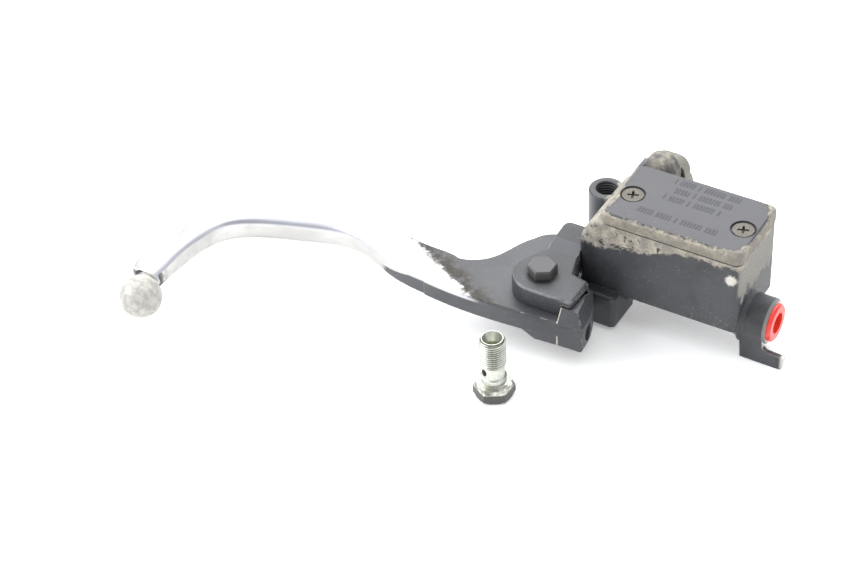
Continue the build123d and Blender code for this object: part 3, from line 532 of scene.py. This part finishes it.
def bare_metal(s, past, top_face, rag):
    """Where the lever's paint has worn away."""
    worn_top = s.times(s.step(past, 2.0, -1.0), top_face)
    # On the front face a slanting line leaves paint below it until the finger starts.
    line = s.add(s.times(s.add(s.x, 64.0), 0.2), LEVER_TOP - 0.7)
    above = s.step(s.add(s.less(s.z, line), s.times(s.less(rag, 0.5), 1.5)), -0.3, 0.3)
    beyond = s.step(s.add(s.x, s.times(s.less(rag, 0.5), 5.0)), -81.0, -85.0)
    worn_side = s.times(s.high(above, beyond), s.less(1.0, top_face))
    front_rim = s.times(s.step(s.z, LEVER_TOP - 2.1, LEVER_TOP - 1.2), s.step(s.y, -76.0, -78.0))
    edge_line = s.times(front_rim, s.step(s.add(s.x, s.times(rag, 20.0)), -22.0, -34.0))
    edge_line = s.times(edge_line, s.less(1.0, s.step(s.facing_z, 0.93, 0.97)))
    corner = s.times(s.edges(0.8), s.step(s.noise(0.3, detail=5, seed=19), 0.50, 0.62))
    # Top and sides are added, so that a rounded corner between them is bare too.
    return s.high(s.add(worn_top, worn_side), edge_line, s.times(corner, 0.6))


def lever_paint(s, cloud):
    paint = s.mix(s.step(cloud, 0.35, 0.65), srgb(62, 63, 67), srgb(74, 75, 80))
    scuff = s.step(s.noise(0.45, detail=6, roughness=0.75, seed=23), 0.56, 0.72)
    return s.mix(s.times(scuff, 0.3), paint, WORN_GREY)


def lever_metal(s, ball):
    """Brushed metal along the finger, with a painted sheen on its rounded shoulders, and mottled, pitted metal on
    the ball.
    """
    brushed = s.noise(0.1, detail=3, stretch=(0.3, 1, 1), seed=12)
    bright = s.mix(s.step(brushed, 0.3, 0.7), srgb(184, 183, 181), srgb(208, 207, 205))
    # Painted sheen: the finger's rounded shoulders, between top and sides, are a paler, bluer silver.
    shoulder_sheen = s.times(s.step(s.facing_z, 0.10, 0.45), s.step(s.facing_z, 0.99, 0.85))
    bright = s.mix(shoulder_sheen, bright, srgb(206, 206, 215))
    mottle = s.step(s.noise(0.35, detail=6, roughness=0.7, seed=8), 0.35, 0.65)
    cast = s.mix(mottle, srgb(164, 161, 155), srgb(198, 196, 191))
    pit = s.step(s.noise(0.28, detail=3, seed=44), 0.68, 0.72)
    cast = s.mix(s.times(pit, 0.8), cast, srgb(84, 82, 76))
    return s.mix(ball, bright, cast)


def soot_and_neck_shade(s, past, top_face, from_ball, ball):
    """Soot-brown smudge beside the boundary, and painted shade on the finger's sides and underside where the ball
    joins it.
    """
    smudge = s.times(s.step(past, -7.0, 1.0), s.step(past, 24.0, 6.0))
    blots = s.step(s.noise(0.45, detail=6, roughness=0.75, seed=2), 0.38, 0.52)
    smudge = s.times(s.times(smudge, top_face), blots)
    # Painted shade: the finger's sides and underside near the ball are darkened in patches.
    neck = s.times(s.step(from_ball, 18.0, 10.0), s.step(s.facing_z, 0.6, 0.2))
    neck = s.times(neck, s.step(s.noise(0.3, detail=5, seed=30), 0.42, 0.52))
    return s.high(s.times(smudge, 0.92), s.times(neck, s.less(1.0, ball)))


def heel_marks(s, colour, grain):
    """Chips along the left edge of the heel's hump, and soot on the heel's front."""
    height = s.less(s.z, LEVER_TOP)
    upper = s.times(s.band(s.x, HUMP_LEFT - 0.3, HUMP_LEFT + 0.35, 0.12), s.step(s.y, -72.0, -74.0))
    upper = s.times(upper, s.step(height, -0.9, -0.3))
    lower = s.times(s.band(s.x, HUMP_LEFT - 0.3, HUMP_LEFT + 0.3, 0.12), s.step(s.y, -76.0, -77.0))
    lower = s.times(lower, s.step(height, -6.5, -7.5))
    chips = s.times(s.high(upper, lower), s.step(grain, 0.34, 0.48))
    colour = s.mix(chips, colour, srgb(196, 192, 180))
    soot = s.times(s.step(s.x, -6.0, -4.0), s.band(height, -3.4, -0.6, 0.6))
    soot = s.times(soot, s.step(s.noise(0.5, detail=5, seed=61), 0.42, 0.56))
    return s.mix(s.times(soot, 0.6), colour, PAINT_DARK)


def lever_finish():
    """Grey paint round the hub that wears away to polished metal along the finger."""
    s = Shader("lever_finish")
    s.round_corners(0.5)
    grain = s.noise(2.0, detail=5, roughness=0.7)
    rag = s.noise(0.16, detail=6, roughness=0.75, seed=6)
    cloud = s.noise(0.04, detail=3, seed=1)
    top_face = s.step(s.facing_z, 0.4, 0.8)
    past = past_boundary(s, rag, grain)
    bare = bare_metal(s, past, top_face, rag)
    from_ball = s.from_axis(BALL, "xy")
    ball = s.step(from_ball, BALL_RADIUS + 0.6, BALL_RADIUS + 0.1)
    soot_and_shade = soot_and_neck_shade(s, past, top_face, from_ball, ball)

    colour = s.mix(bare, lever_paint(s, cloud), lever_metal(s, ball))
    # Soot smudge, and painted shade at the ball's neck.
    colour = s.mix(soot_and_shade, colour, srgb(50, 44, 37))
    colour = heel_marks(s, colour, grain)
    s.bump(s.noise(0.5, detail=6, roughness=0.7, seed=5), 0.12, strength=0.4)
    smooth = s.blend(ball, s.blend(grain, 0.26, 0.40), 0.62)
    roughness = s.blend(bare, s.blend(cloud, 0.36, 0.48), smooth)
    clean = s.times(s.less(1.0, soot_and_shade), s.blend(ball, 1.0, 0.35))
    return s.finish(colour, s.high(roughness, s.times(soot_and_shade, 0.7)), s.times(bare, clean))


def clamp_alloy():
    """Stained bare alloy, still painted below the bar."""
    s = Shader("clamp_alloy")
    s.round_corners(0.5)
    grain = s.noise(2.4, detail=5, roughness=0.7)
    blotch = s.noise(0.2, detail=4, seed=3)
    colour = s.mix(s.step(grain, 0.3, 0.7), srgb(118, 114, 105), srgb(150, 146, 137))
    colour = s.mix(s.times(s.step(blotch, 0.54, 0.66), 0.8), colour, GRIME)
    painted = s.times(s.step(s.z, 3.0, -3.0), s.step(blotch, 0.62, 0.45))
    colour = s.mix(painted, colour, PAINT)
    s.bump(s.add(grain, blotch), 0.12)
    return s.finish(colour, s.blend(grain, 0.5, 0.75), 0.25)


def plain_metal(name, dark, light, roughness, metallic=1.0):
    s = Shader(name)
    s.round_corners(0.25)
    grain = s.noise(1.5, detail=5, roughness=0.7)
    cloud = s.noise(0.2, detail=4, seed=5)
    colour = s.mix(s.step(cloud, 0.3, 0.7), dark, light)
    s.bump(grain, 0.05, strength=0.6)
    return s.finish(colour, s.blend(grain, roughness * 0.75, roughness * 1.3), metallic)


def black_steel():
    """Blackened bolts, browner on their flanks, with rubbed edges."""
    s = Shader("black_steel")
    s.round_corners(0.35)
    grain = s.noise(1.6, detail=5, roughness=0.7)
    edge = s.times(s.edges(0.5), s.step(s.noise(0.5, detail=4, seed=2), 0.46, 0.6))
    colour = s.mix(grain, srgb(66, 66, 68), srgb(86, 86, 89))
    flank = s.times(s.step(s.facing_z, 0.5, 0.2), 0.6)
    colour = s.mix(flank, colour, srgb(100, 97, 92))
    colour = s.mix(s.times(edge, 0.6), colour, srgb(140, 132, 118))
    s.bump(grain, 0.06)
    return s.finish(colour, s.blend(grain, 0.3, 0.5), s.blend(edge, 0.35, 0.8))


def soft_rubber():
    s = Shader("black_rubber")
    grain = s.noise(2.5, detail=5, roughness=0.7)
    dust = s.step(s.noise(0.3, detail=4, seed=2), 0.5, 0.7)
    colour = s.mix(s.times(dust, 0.35), srgb(30, 30, 31), srgb(92, 88, 82))
    s.bump(grain, 0.06)
    return s.finish(colour, 0.75)


def pale_plastic():
    s = Shader("white_plastic")
    cloud = s.noise(0.1, detail=4)
    s.bump(s.noise(1.5, detail=4), 0.03)
    return s.finish(s.mix(cloud, srgb(214, 210, 198), srgb(232, 230, 222)), 0.5)


def red_plastic():
    s = Shader("red_plastic")
    s.round_corners(0.35)
    cloud = s.noise(0.3, detail=4)
    inside = s.step(s.from_axis(CYLINDER, "yz"), 4.3, 4.0)
    colour = s.mix(s.step(cloud, 0.3, 0.7), srgb(214, 44, 34), srgb(232, 62, 50))
    colour = s.mix(inside, colour, srgb(236, 60, 36))
    s.bump(s.noise(1.2, detail=4), 0.04)
    return s.finish(colour, s.blend(cloud, 0.25, 0.4), coat=0.2)


def bolt_zinc(foot, up):
    """Bright zinc plate on the shank; the hexagon's flats are dull and painted dark as shade."""
    s = Shader("bolt_zinc")
    blotch = s.noise(0.25, detail=5, roughness=0.7)
    grain = s.noise(2.2, detail=5, roughness=0.7, seed=4)
    height, radius = s.along_line(foot, up)
    flats = s.times(s.step(height, 4.7, 4.1), s.step(radius, 6.2, 6.8))
    dirt = s.times(s.band(height, 4.6, 6.3, 0.3), s.step(s.noise(0.5, detail=4, seed=6), 0.45, 0.6))
    colour = s.mix(s.step(blotch, 0.35, 0.65), srgb(180, 182, 173), srgb(212, 215, 205))
    # Painted shade: the hexagon's upright flats are painted dark grey.
    colour = s.mix(flats, colour, s.mix(grain, srgb(70, 69, 68), srgb(104, 102, 98)))
    colour = s.mix(s.times(dirt, 0.7), colour, srgb(86, 74, 56))
    # Painted shade in the roots of the thread.
    thread_root_shade = s.times(s.step(height, 14.2, 14.8), s.step(radius, 4.68, 4.45))
    thread_root_shade = s.times(thread_root_shade, s.step(radius, 4.1, 4.2))
    colour = s.mix(s.times(thread_root_shade, 0.9), colour, srgb(84, 86, 77))
    # Painted shade and reflection: the narrow part of the bore is painted a greenish grey.
    inside = s.times(s.step(radius, 2.5, 2.2), s.step(height, 25.0, 23.5))
    colour = s.mix(inside, colour, srgb(128, 132, 110))
    s.bump(grain, 0.03, strength=0.5)
    dull = s.high(flats, dirt)
    return s.finish(colour, s.blend(dull, s.blend(blotch, 0.30, 0.44), 0.5), s.blend(dull, 1.0, 0.5))


# ---- Mesh building blocks --------------------------------------------------------------
def make_mesh(name, points, faces, smooth=True):
    mesh = bpy.data.meshes.new(name)
    mesh.from_pydata([tuple(point) for point in points], [], faces)
    mesh.validate()
    mesh.update()
    for polygon in mesh.polygons:
        polygon.use_smooth = smooth
    obj = bpy.data.objects.new(name, mesh)
    bpy.context.scene.collection.objects.link(obj)
    return obj


def lathe(name, profile, place, steps=96):
    """Closed solid of revolution. profile is a closed loop of (along, radius) in mm and
    place turns (along, radius, angle) into a point in metres."""
    points, faces = [], []
    count = len(profile)
    for step in range(steps):
        angle = 2 * math.pi * step / steps
        points += [place(along, radius, angle) for along, radius in profile]
    for step in range(steps):
        here, there = step * count, (step + 1) % steps * count
        for i in range(count):
            j = (i + 1) % count
            faces.append((here + i, here + j, there + j, there + i))
    return make_mesh(name, points, faces)


def on_cylinder(along, radius, angle):
    """Point round the hydraulic axis, which runs along X."""
    y = CYLINDER.y + radius * math.cos(angle)
    z = CYLINDER.z + radius * math.sin(angle)
    return Vector((along, y, z)) * MM


# ---- Hollow hose bolt ------------------------------------------------------------------
def bolt_frame():
    """Matrix from the bolt's own frame (z up its axis, origin at its foot) to the shared frame,
    and its height in mm."""
    up = Vector(JOINTS["hose_bolt_lift"]["axis"]).normalized()
    turn = Vector((0, 0, 1)).rotation_difference(up).to_matrix().to_4x4()
    local = [turn.inverted() @ vertex.co for vertex in frame["nodes"]["banjo_bolt"].data.vertices]
    low = Vector([min(point[i] for point in local) for i in range(3)])
    high = Vector([max(point[i] for point in local) for i in range(3)])
    foot = Vector(((low.x + high.x) / 2, (low.y + high.y) / 2, low.z))
    return turn @ Matrix.Translation(foot), (high.z - low.z) / MM


STEPS = 144  # points round the bolt
LAYER = 0.1  # between its rings
HEX_FLATS = 14.0
# Height and greatest radius of the rings that shape the head, its chamfer and its washer face.
HEAD_RINGS = ((0.0, 6.55), (0.35, 7.15), (1.0, 9.0), (4.2, 9.0), (4.8, 7.4), (5.0, 6.9))
COLLAR_RADIUS, COLLAR_TOP = 6.9, 6.2
UNDERCUT_RADIUS, UNDERCUT_TOP = 5.6, 6.7
PLAIN_RADIUS, PLAIN_TOP = 4.9, 9.2
NECK_RADIUS, NECK_FLARE = 4.25, 0.8
THREAD_RADIUS = 5.0
THREAD_ROOT = 4.3
THREAD_DEPTH = 0.65
THREAD_PITCH = 1.0
THREAD_START, THREAD_FADE = 14.6, 0.8
LEAD_LENGTH, LEAD_DEPTH = 1.1, 0.75  # coned start of the thread
CROSS_HOLE_Z, CROSS_HOLE_RADIUS = 12.0, 1.35
CROSS_HOLE_TURNS = (243, 63)  # degrees
CROSS_HOLE_RISE = 4.32  # of its mouths from the bolt's axis


def bolt_radius(height, angle, top):
    """Outer radius of the bolt's shank at a height and angle, thread included."""
    if height < COLLAR_TOP:
        return COLLAR_RADIUS
    if height < UNDERCUT_TOP:
        return UNDERCUT_RADIUS
    if height < PLAIN_TOP:
        return PLAIN_RADIUS
    if height < THREAD_START:
        flare = max(0.0, 1 - (height - PLAIN_TOP) / NECK_FLARE)
        return NECK_RADIUS + (PLAIN_RADIUS - NECK_RADIUS) * flare * flare
    turns = height / THREAD_PITCH - angle / (2 * math.pi)
    wave = abs(2 * (turns - math.floor(turns)) - 1)
    fade_in = min(1.0, (height - THREAD_START) / THREAD_FADE)
    lead = min(1.0, max(0.0, (top - height) / LEAD_LENGTH))
    crest = THREAD_RADIUS - LEAD_DEPTH * (1 - lead)
    groove = THREAD_DEPTH * min(1.0, wave * 1.25) * fade_in * lead
    return THREAD_ROOT + (crest - THREAD_ROOT) * fade_in - groove


def hex_radius(angle):
    """Distance from the centre to the hexagon's side at an angle, two flats facing along X."""
    sector = math.radians(60)
    return HEX_FLATS / 2 / math.cos((angle + sector / 2) % sector - sector / 2)


def bolt_rings(top):
    """Rings of (radius, height) up the outside of the bolt and down the inside of its bore."""
    angles = [2 * math.pi * k / STEPS for k in range(STEPS)]
    rings = [[(min(hex_radius(angle), limit), level) for angle in angles] for level, limit in HEAD_RINGS]
    height = HEAD_RINGS[-1][0] + LAYER / 2
    while height < top - 0.01:
        rings.append([(bolt_radius(height, angle, top), height) for angle in angles])
        height += LAYER
    # Chamfered mouth, cone, drilled wall and blind end.
    bore = ((4.05, top), (3.9, top), (1.9, top - 4.6), (1.7, top - 5.0), (1.7, 9.0), (0.05, 8.6))
    return rings + [[station] * STEPS for station in bore]


def hose_bolt():
    """Hexagon head on the table, collar, necked shank with a cross hole, and thread."""
    to_frame, top = bolt_frame()
    rings = bolt_rings(top)
    points, faces = [], []
    for ring in rings:
        for k, (radius, level) in enumerate(ring):
            angle = 2 * math.pi * k / STEPS
            points.append(Vector((radius * math.cos(angle), radius * math.sin(angle), level)) * MM)
    for i in range(len(rings) - 1):
        here, above = i * STEPS, (i + 1) * STEPS
        for k in range(STEPS):
            m = (k + 1) % STEPS
            faces.append((here + k, here + m, above + m, above + k))
    last = (len(rings) - 1) * STEPS
    faces.append(tuple(range(STEPS - 1, -1, -1)))
    faces.append(tuple(range(last, last + STEPS)))
    bolt = make_mesh("hose_bolt", [to_frame @ point for point in points], faces)
    shade_by_angle(bolt, 32)
    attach(bolt, "hose_bolt")
    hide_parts("banjo_bolt")
    up = (to_frame.to_3x3() @ Vector((0, 0, 1))).normalized()
    wear(bolt, bolt_zinc(to_frame.translation / MM, up))
    cross_hole_shade_discs(to_frame)


def on_neck(turn, level):
    """Point just outside the bolt's neck, in the bolt's own frame."""
    return Vector((CROSS_HOLE_RISE * math.cos(turn), CROSS_HOLE_RISE * math.sin(turn), level)) * MM


def cross_hole_shade_discs(to_frame):
    """Painted shade for the mouths of the cross-drilled hole: near-black thin discs bent round the neck."""
    # Near-black material: painted shade inside the hole.
    material = plain_metal("painted_hole_shade", srgb(14, 13, 12), srgb(24, 22, 20), 0.7, 0.2)
    steps = 28
    for index, degrees in enumerate(CROSS_HOLE_TURNS):
        middle = math.radians(degrees)
        points, faces = [on_neck(middle, CROSS_HOLE_Z)], []
        for k in range(steps):
            angle = 2 * math.pi * k / steps
            around = middle + CROSS_HOLE_RADIUS * math.cos(angle) / (CROSS_HOLE_RISE - 0.02)
            points.append(on_neck(around, CROSS_HOLE_Z + CROSS_HOLE_RADIUS * math.sin(angle)))
            faces.append((0, 1 + k, 1 + (k + 1) % steps))
        disc = make_mesh(f"hose_bolt_hole_{index}", [to_frame @ point for point in points], faces)
        thicken = disc.modifiers.new("thickness", "SOLIDIFY")
        thicken.thickness = 0.3 * MM
        thicken.offset = 0.0
        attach(disc, "hose_bolt")
        wear(disc, material)


def shade_by_angle(obj, degrees):
    """Smooth shading that keeps edges sharper than the angle crisp."""
    limit = math.radians(degrees)
    mesh = obj.data
    sharp = mesh.attributes.get("sharp_edge") or mesh.attributes.new("sharp_edge", "BOOLEAN", "EDGE")
    around = {}
    for polygon in mesh.polygons:
        for key in polygon.edge_keys:
            around.setdefault(key, []).append(polygon.normal)
    for edge in mesh.edges:
        normals = around.get(edge.key, [])
        flat = len(normals) != 2 or normals[0].angle(normals[1], 0.0) < limit
        sharp.data[edge.index].value = not flat


# ---- Rubber parts ----------------------------------------------------------------------
BARREL_MOUTH_X = -8.0
BOOT_LIP = 1.4  # of the boot's end that grips the piston
BOOT_WALL = 0.75
BOOT_FOLDS = 3
BOOT_FOLD_HEIGHT = 1.4
BOOT_WAIST, BOOT_TAPER = 4.9, 0.5


def bellows():
    """Dust boot between the barrel's mouth and the piston."""
    samples = 12  # to a fold
    mouth, tail = BARREL_MOUTH_X, BOOT_LOW.x + BOOT_LIP
    outer = [(BOOT_HIGH.x, 6.2), (BOOT_HIGH.x, 7.3), (mouth, 7.3)]
    inner = []
    for k in range(BOOT_FOLDS * samples + 1):
        share = k / (BOOT_FOLDS * samples)
        wave = 0.5 - 0.5 * math.cos(2 * math.pi * BOOT_FOLDS * share)
        x = mouth - 0.4 + (tail - mouth + 0.4) * share
        radius = BOOT_WAIST - BOOT_TAPER * share + BOOT_FOLD_HEIGHT * wave
        outer.append((x, radius))
        inner.append((x, radius - BOOT_WALL))
    outer += [(BOOT_LOW.x, 4.2), (BOOT_LOW.x, 2.95), (tail, 2.95)]
    boot = lathe("dust_boot_rubber", outer + inner[::-1] + [(mouth, 5.0)], on_cylinder)
    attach(boot, "housing")
    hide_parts("dust_boot")
    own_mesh(boot)  # short enough at full stroke
    return boot


def cup(name, node, inner):
    """Rubber cup with a flared, rounded lip on the pressure side."""
    low, high = box_mm(node)
    radius = (high.z - low.z) / 2
    length = high.x - low.x
    profile = [(low.x, inner), (low.x, radius - 0.7), (low.x + 0.3, radius - 0.4)]
    profile += [(low.x + length * share, radius - 0.4 * (1 - share)) for share in (0.3, 0.5, 0.7, 0.9)]
    profile += [(high.x, radius - 0.15), (high.x, radius - 0.6), (high.x - 0.2, radius - 0.8)]
    profile += [(low.x + length * 0.45, inner + 0.9), (low.x + length * 0.36, inner)]
    made = lathe(name, profile, on_cylinder)
    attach(made, "piston_set")
    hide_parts(node)
    return made


def rounded_outline(low, high, corner, inset, steps=8):
    """Plan loop of a rectangle with round corners, in mm."""
    loop = []
    radius = max(corner - inset, 0.3)
    centres = [(high.x, low.y, -90), (high.x, high.y, 0), (low.x, high.y, 90), (low.x, low.y, 180)]
    for x, y, start in centres:
        cx = x - math.copysign(inset + radius, x - (low.x + high.x) / 2)
        cy = y - math.copysign(inset + radius, y - (low.y + high.y) / 2)
        for k in range(steps + 1):
            angle = math.radians(start + 90 * k / steps)
            loop.append((cx + radius * math.cos(angle), cy + radius * math.sin(angle)))
    return loop


SEAL_THICKNESS = 0.8
BAG_INSET = 9.5  # from the seal's outline to the bag's mouth
BAG_FOLDS = 3
BAG_ROWS = 12
BAG_WALL = 0.8


def seal_stations():
    """(inset, height) stations from the seal's rim down the bag's wall, and back under it."""
    rim_low, rim_high = SEAL_HIGH.z - SEAL_THICKNESS, SEAL_HIGH.z
    edge = [(0.25, rim_low), (0.05, rim_low + 0.2), (0.05, rim_high - 0.2), (0.25, rim_high)]
    wall = [(BAG_INSET, rim_high)]
    floor = SEAL_LOW.z + 1.0
    for k in range(1, BAG_ROWS + 1):
        share = k / BAG_ROWS
        inset = BAG_INSET + 0.5 + 0.35 * math.sin(2 * math.pi * BAG_FOLDS * share)
        wall.append((inset, rim_high + (floor - rim_high) * share))
    under = []
    for inset, level in wall[::-1]:
        thickness = BAG_WALL if level < rim_high - 1.0 else 0.7
        under.append((inset - BAG_WALL, level - thickness))
    return edge + wall, under


def lid_seal():
    """Diaphragm: a flat rim with a swollen edge and a pleated bag hanging in the fluid."""
    upper, under = seal_stations()
    rows = []
    for inset, level in upper + under:
        outline = rounded_outline(SEAL_LOW, SEAL_HIGH, 3.0, inset)
        rows.append([Vector((x, y, level)) * MM for x, y in outline])
    count = len(rows[0])
    top_floor = len(upper) - 1
    faces = []
    for i in range(len(rows)):
        # The last upper row and the first under it are the bag's floor, closed below.
        if i == top_floor:
            continue
        j = (i + 1) % len(rows)
        for k in range(count):
            m = (k + 1) % count
            faces.append((i * count + k, i * count + m, j * count + m, j * count + k))
    faces.append(tuple(top_floor * count + k for k in range(count)))
    faces.append(tuple((top_floor + 1) * count + k for k in range(count - 1, -1, -1)))
    seal = make_mesh("diaphragm_rubber", [point for row in rows for point in row], faces)
    shade_by_angle(seal, 40)
    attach(seal, "housing")
    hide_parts("diaphragm")
    return seal


def rubber_parts():
    material = soft_rubber()
    pieces = [bellows(), cup("primary_cup_rubber", "primary_cup", 2.4)]
    pieces += [cup("secondary_cup_rubber", "secondary_cup", 3.4), lid_seal()]
    for piece in pieces:
        wear(piece, material)


# ---- CAD nodes kept as they are --------------------------------------------------------
def dress_cad_nodes():
    steel = plain_metal("bright_steel", srgb(150, 150, 148), srgb(200, 200, 196), 0.3)
    dark = black_steel()
    plastic = pale_plastic()
    finishes = {
        "body_casting": casting_paint(),
        "reservoir_cap": cap_paint(),
        "cap_screws": screw_zinc(),
        "diaphragm_plate": plastic,
        "port_baffle": plastic,
        "bar_clamp": clamp_alloy(),
        "clamp_bolts": dark,
        "clamp_washers": steel,
        "pivot_bolt": dark,
        "pivot_nut": steel,
        "pivot_bush": plain_metal("bronze", srgb(150, 112, 60), srgb(186, 142, 84), 0.35),
        "lever": lever_finish(),
        "piston": plain_metal("piston_alloy", srgb(140, 140, 128), srgb(176, 176, 162), 0.3),
        "return_spring": steel,
        "stop_washer": steel,
        "circlip": steel,
        "port_plug": red_plastic(),
    }
    for node, material in finishes.items():
        wear(frame["nodes"][node], material)


# ---- Stage -----------------------------------------------------------------------------
# The table touches the clamp lug, the pivot nut and the hose tab, so it leans a little
# against the frame; the hose bolt stands square on it.
TABLE_UP = Vector(JOINTS["hose_bolt_lift"]["axis"]).normalized()
TABLE_POINT = Vector((0.0, 0.0, CAST_LOW.z - 0.25)) * MM
TABLE_HALF = 3.0  # metres
TABLE_GLOW = 0.25  # thins the shadows, as an overexposed white table does

EYE = Vector((313.4, -677.3, 590.2)) * MM
VIEW_RIGHT = Vector((0.8638, 0.5025, -0.0365)).normalized()
VIEW_FORWARD = Vector((-0.4038, 0.6471, -0.6467)).normalized()
LENS = 100.47

# Name, place from the part's middle, size and power of each soft light.
LIGHTS = (
    ("back_soft", (-0.35, 0.75, 0.85), 1.1, 11.0),
    ("top_soft", (0.25, 0.1, 1.1), 0.9, 3.0),
    ("left_soft", (-0.8, -0.5, 0.7), 0.8, 9.0),
)
SKY_COLOUR = (0.97, 0.985, 1.0, 1.0)
SKY_BACK = Vector((-0.35, 0.75, 0.55)).normalized()


def table():
    side = TABLE_UP.orthogonal().normalized()
    other = TABLE_UP.cross(side)
    corners = [(-1, -1), (1, -1), (1, 1), (-1, 1)]
    points = [TABLE_POINT + (side * a + other * b) * TABLE_HALF for a, b in corners]
    floor = make_mesh("table_top", points, [(0, 1, 2, 3)], smooth=False)
    s = Shader("table_white")
    specks = s.step(s.noise(0.06, detail=6, roughness=0.7), 0.70, 0.76)
    s.bump(s.noise(0.8, detail=3), 0.02)
    white = s.mix(s.times(specks, 0.10), (0.93, 0.93, 0.93, 1), (0.55, 0.54, 0.52, 1))
    wear(floor, s.finish(white, 0.55, specular=0.3, glow=TABLE_GLOW))


def area_light(name, where, target, size, power):
    data = bpy.data.lights.new(name, "AREA")
    data.shape = "SQUARE"
    data.size = size
    data.energy = power
    light = bpy.data.objects.new(name, data)
    light.location = where
    light.rotation_mode = "QUATERNION"
    light.rotation_quaternion = (target - where).to_track_quat("-Z", "Y")
    bpy.context.scene.collection.objects.link(light)


def brightness_towards(tree, view, aim, turn, strengths):
    """Sky strength that runs from one value to another as the view nears the aim; turn
    holds the two cosines between which it changes."""
    lean = tree.nodes.new("ShaderNodeVectorMath")
    lean.operation = "DOT_PRODUCT"
    lean.inputs[1].default_value = aim
    tree.links.new(view, lean.inputs[0])
    ramp = tree.nodes.new("ShaderNodeMapRange")
    ramp.interpolation_type = "SMOOTHSTEP"
    ramp.inputs["From Min"].default_value, ramp.inputs["From Max"].default_value = turn
    ramp.inputs["To Min"].default_value, ramp.inputs["To Max"].default_value = strengths
    tree.links.new(lean.outputs["Value"], ramp.inputs["Value"])
    return ramp.outputs["Result"]


def sky():
    """White all round, brighter at the back; the room behind the camera is dimmer."""
    world = bpy.data.worlds.new("studio")
    bpy.context.scene.world = world
    world.use_nodes = True
    tree = world.node_tree
    tree.nodes.clear()
    view = tree.nodes.new("ShaderNodeTexCoord").outputs["Generated"]
    back = brightness_towards(tree, view, SKY_BACK, (0.25, 0.75), (0.95, 1.25))
    room = brightness_towards(tree, view, -VIEW_FORWARD, (0.70, 0.92), (1.0, 0.55))
    strength = tree.nodes.new("ShaderNodeMath")
    strength.operation = "MULTIPLY"
    tree.links.new(back, strength.inputs[0])
    tree.links.new(room, strength.inputs[1])
    light = tree.nodes.new("ShaderNodeBackground")
    light.inputs["Color"].default_value = SKY_COLOUR
    tree.links.new(strength.outputs[0], light.inputs["Strength"])
    output = tree.nodes.new("ShaderNodeOutputWorld")
    tree.links.new(light.outputs[0], output.inputs["Surface"])


def studio():
    """Large soft lights behind, above and at the left, in a pale sky."""
    target = (cad_low + cad_high) / 2
    for name, offset, size, power in LIGHTS:
        area_light(name, target + Vector(offset), target, size, power)
    sky()


def camera():
    """Looks down on the lid and the lever from the front right."""
    up = VIEW_RIGHT.cross(VIEW_FORWARD).normalized()
    right = VIEW_FORWARD.cross(up)
    data = bpy.data.cameras.new("photo_view")
    data.sensor_width = 36.0
    data.lens = LENS
    data.clip_start, data.clip_end = 0.01, 20.0
    view = bpy.data.objects.new("photo_view", data)
    turn = Matrix((right, up, -VIEW_FORWARD)).transposed().to_4x4()
    view.matrix_world = Matrix.Translation(EYE) @ turn
    bpy.context.scene.collection.objects.link(view)
    bpy.context.scene.camera = view


bpy.context.scene.view_settings.view_transform = "Standard"
dress_cad_nodes()
rubber_parts()
hose_bolt()
table()
studio()
camera()
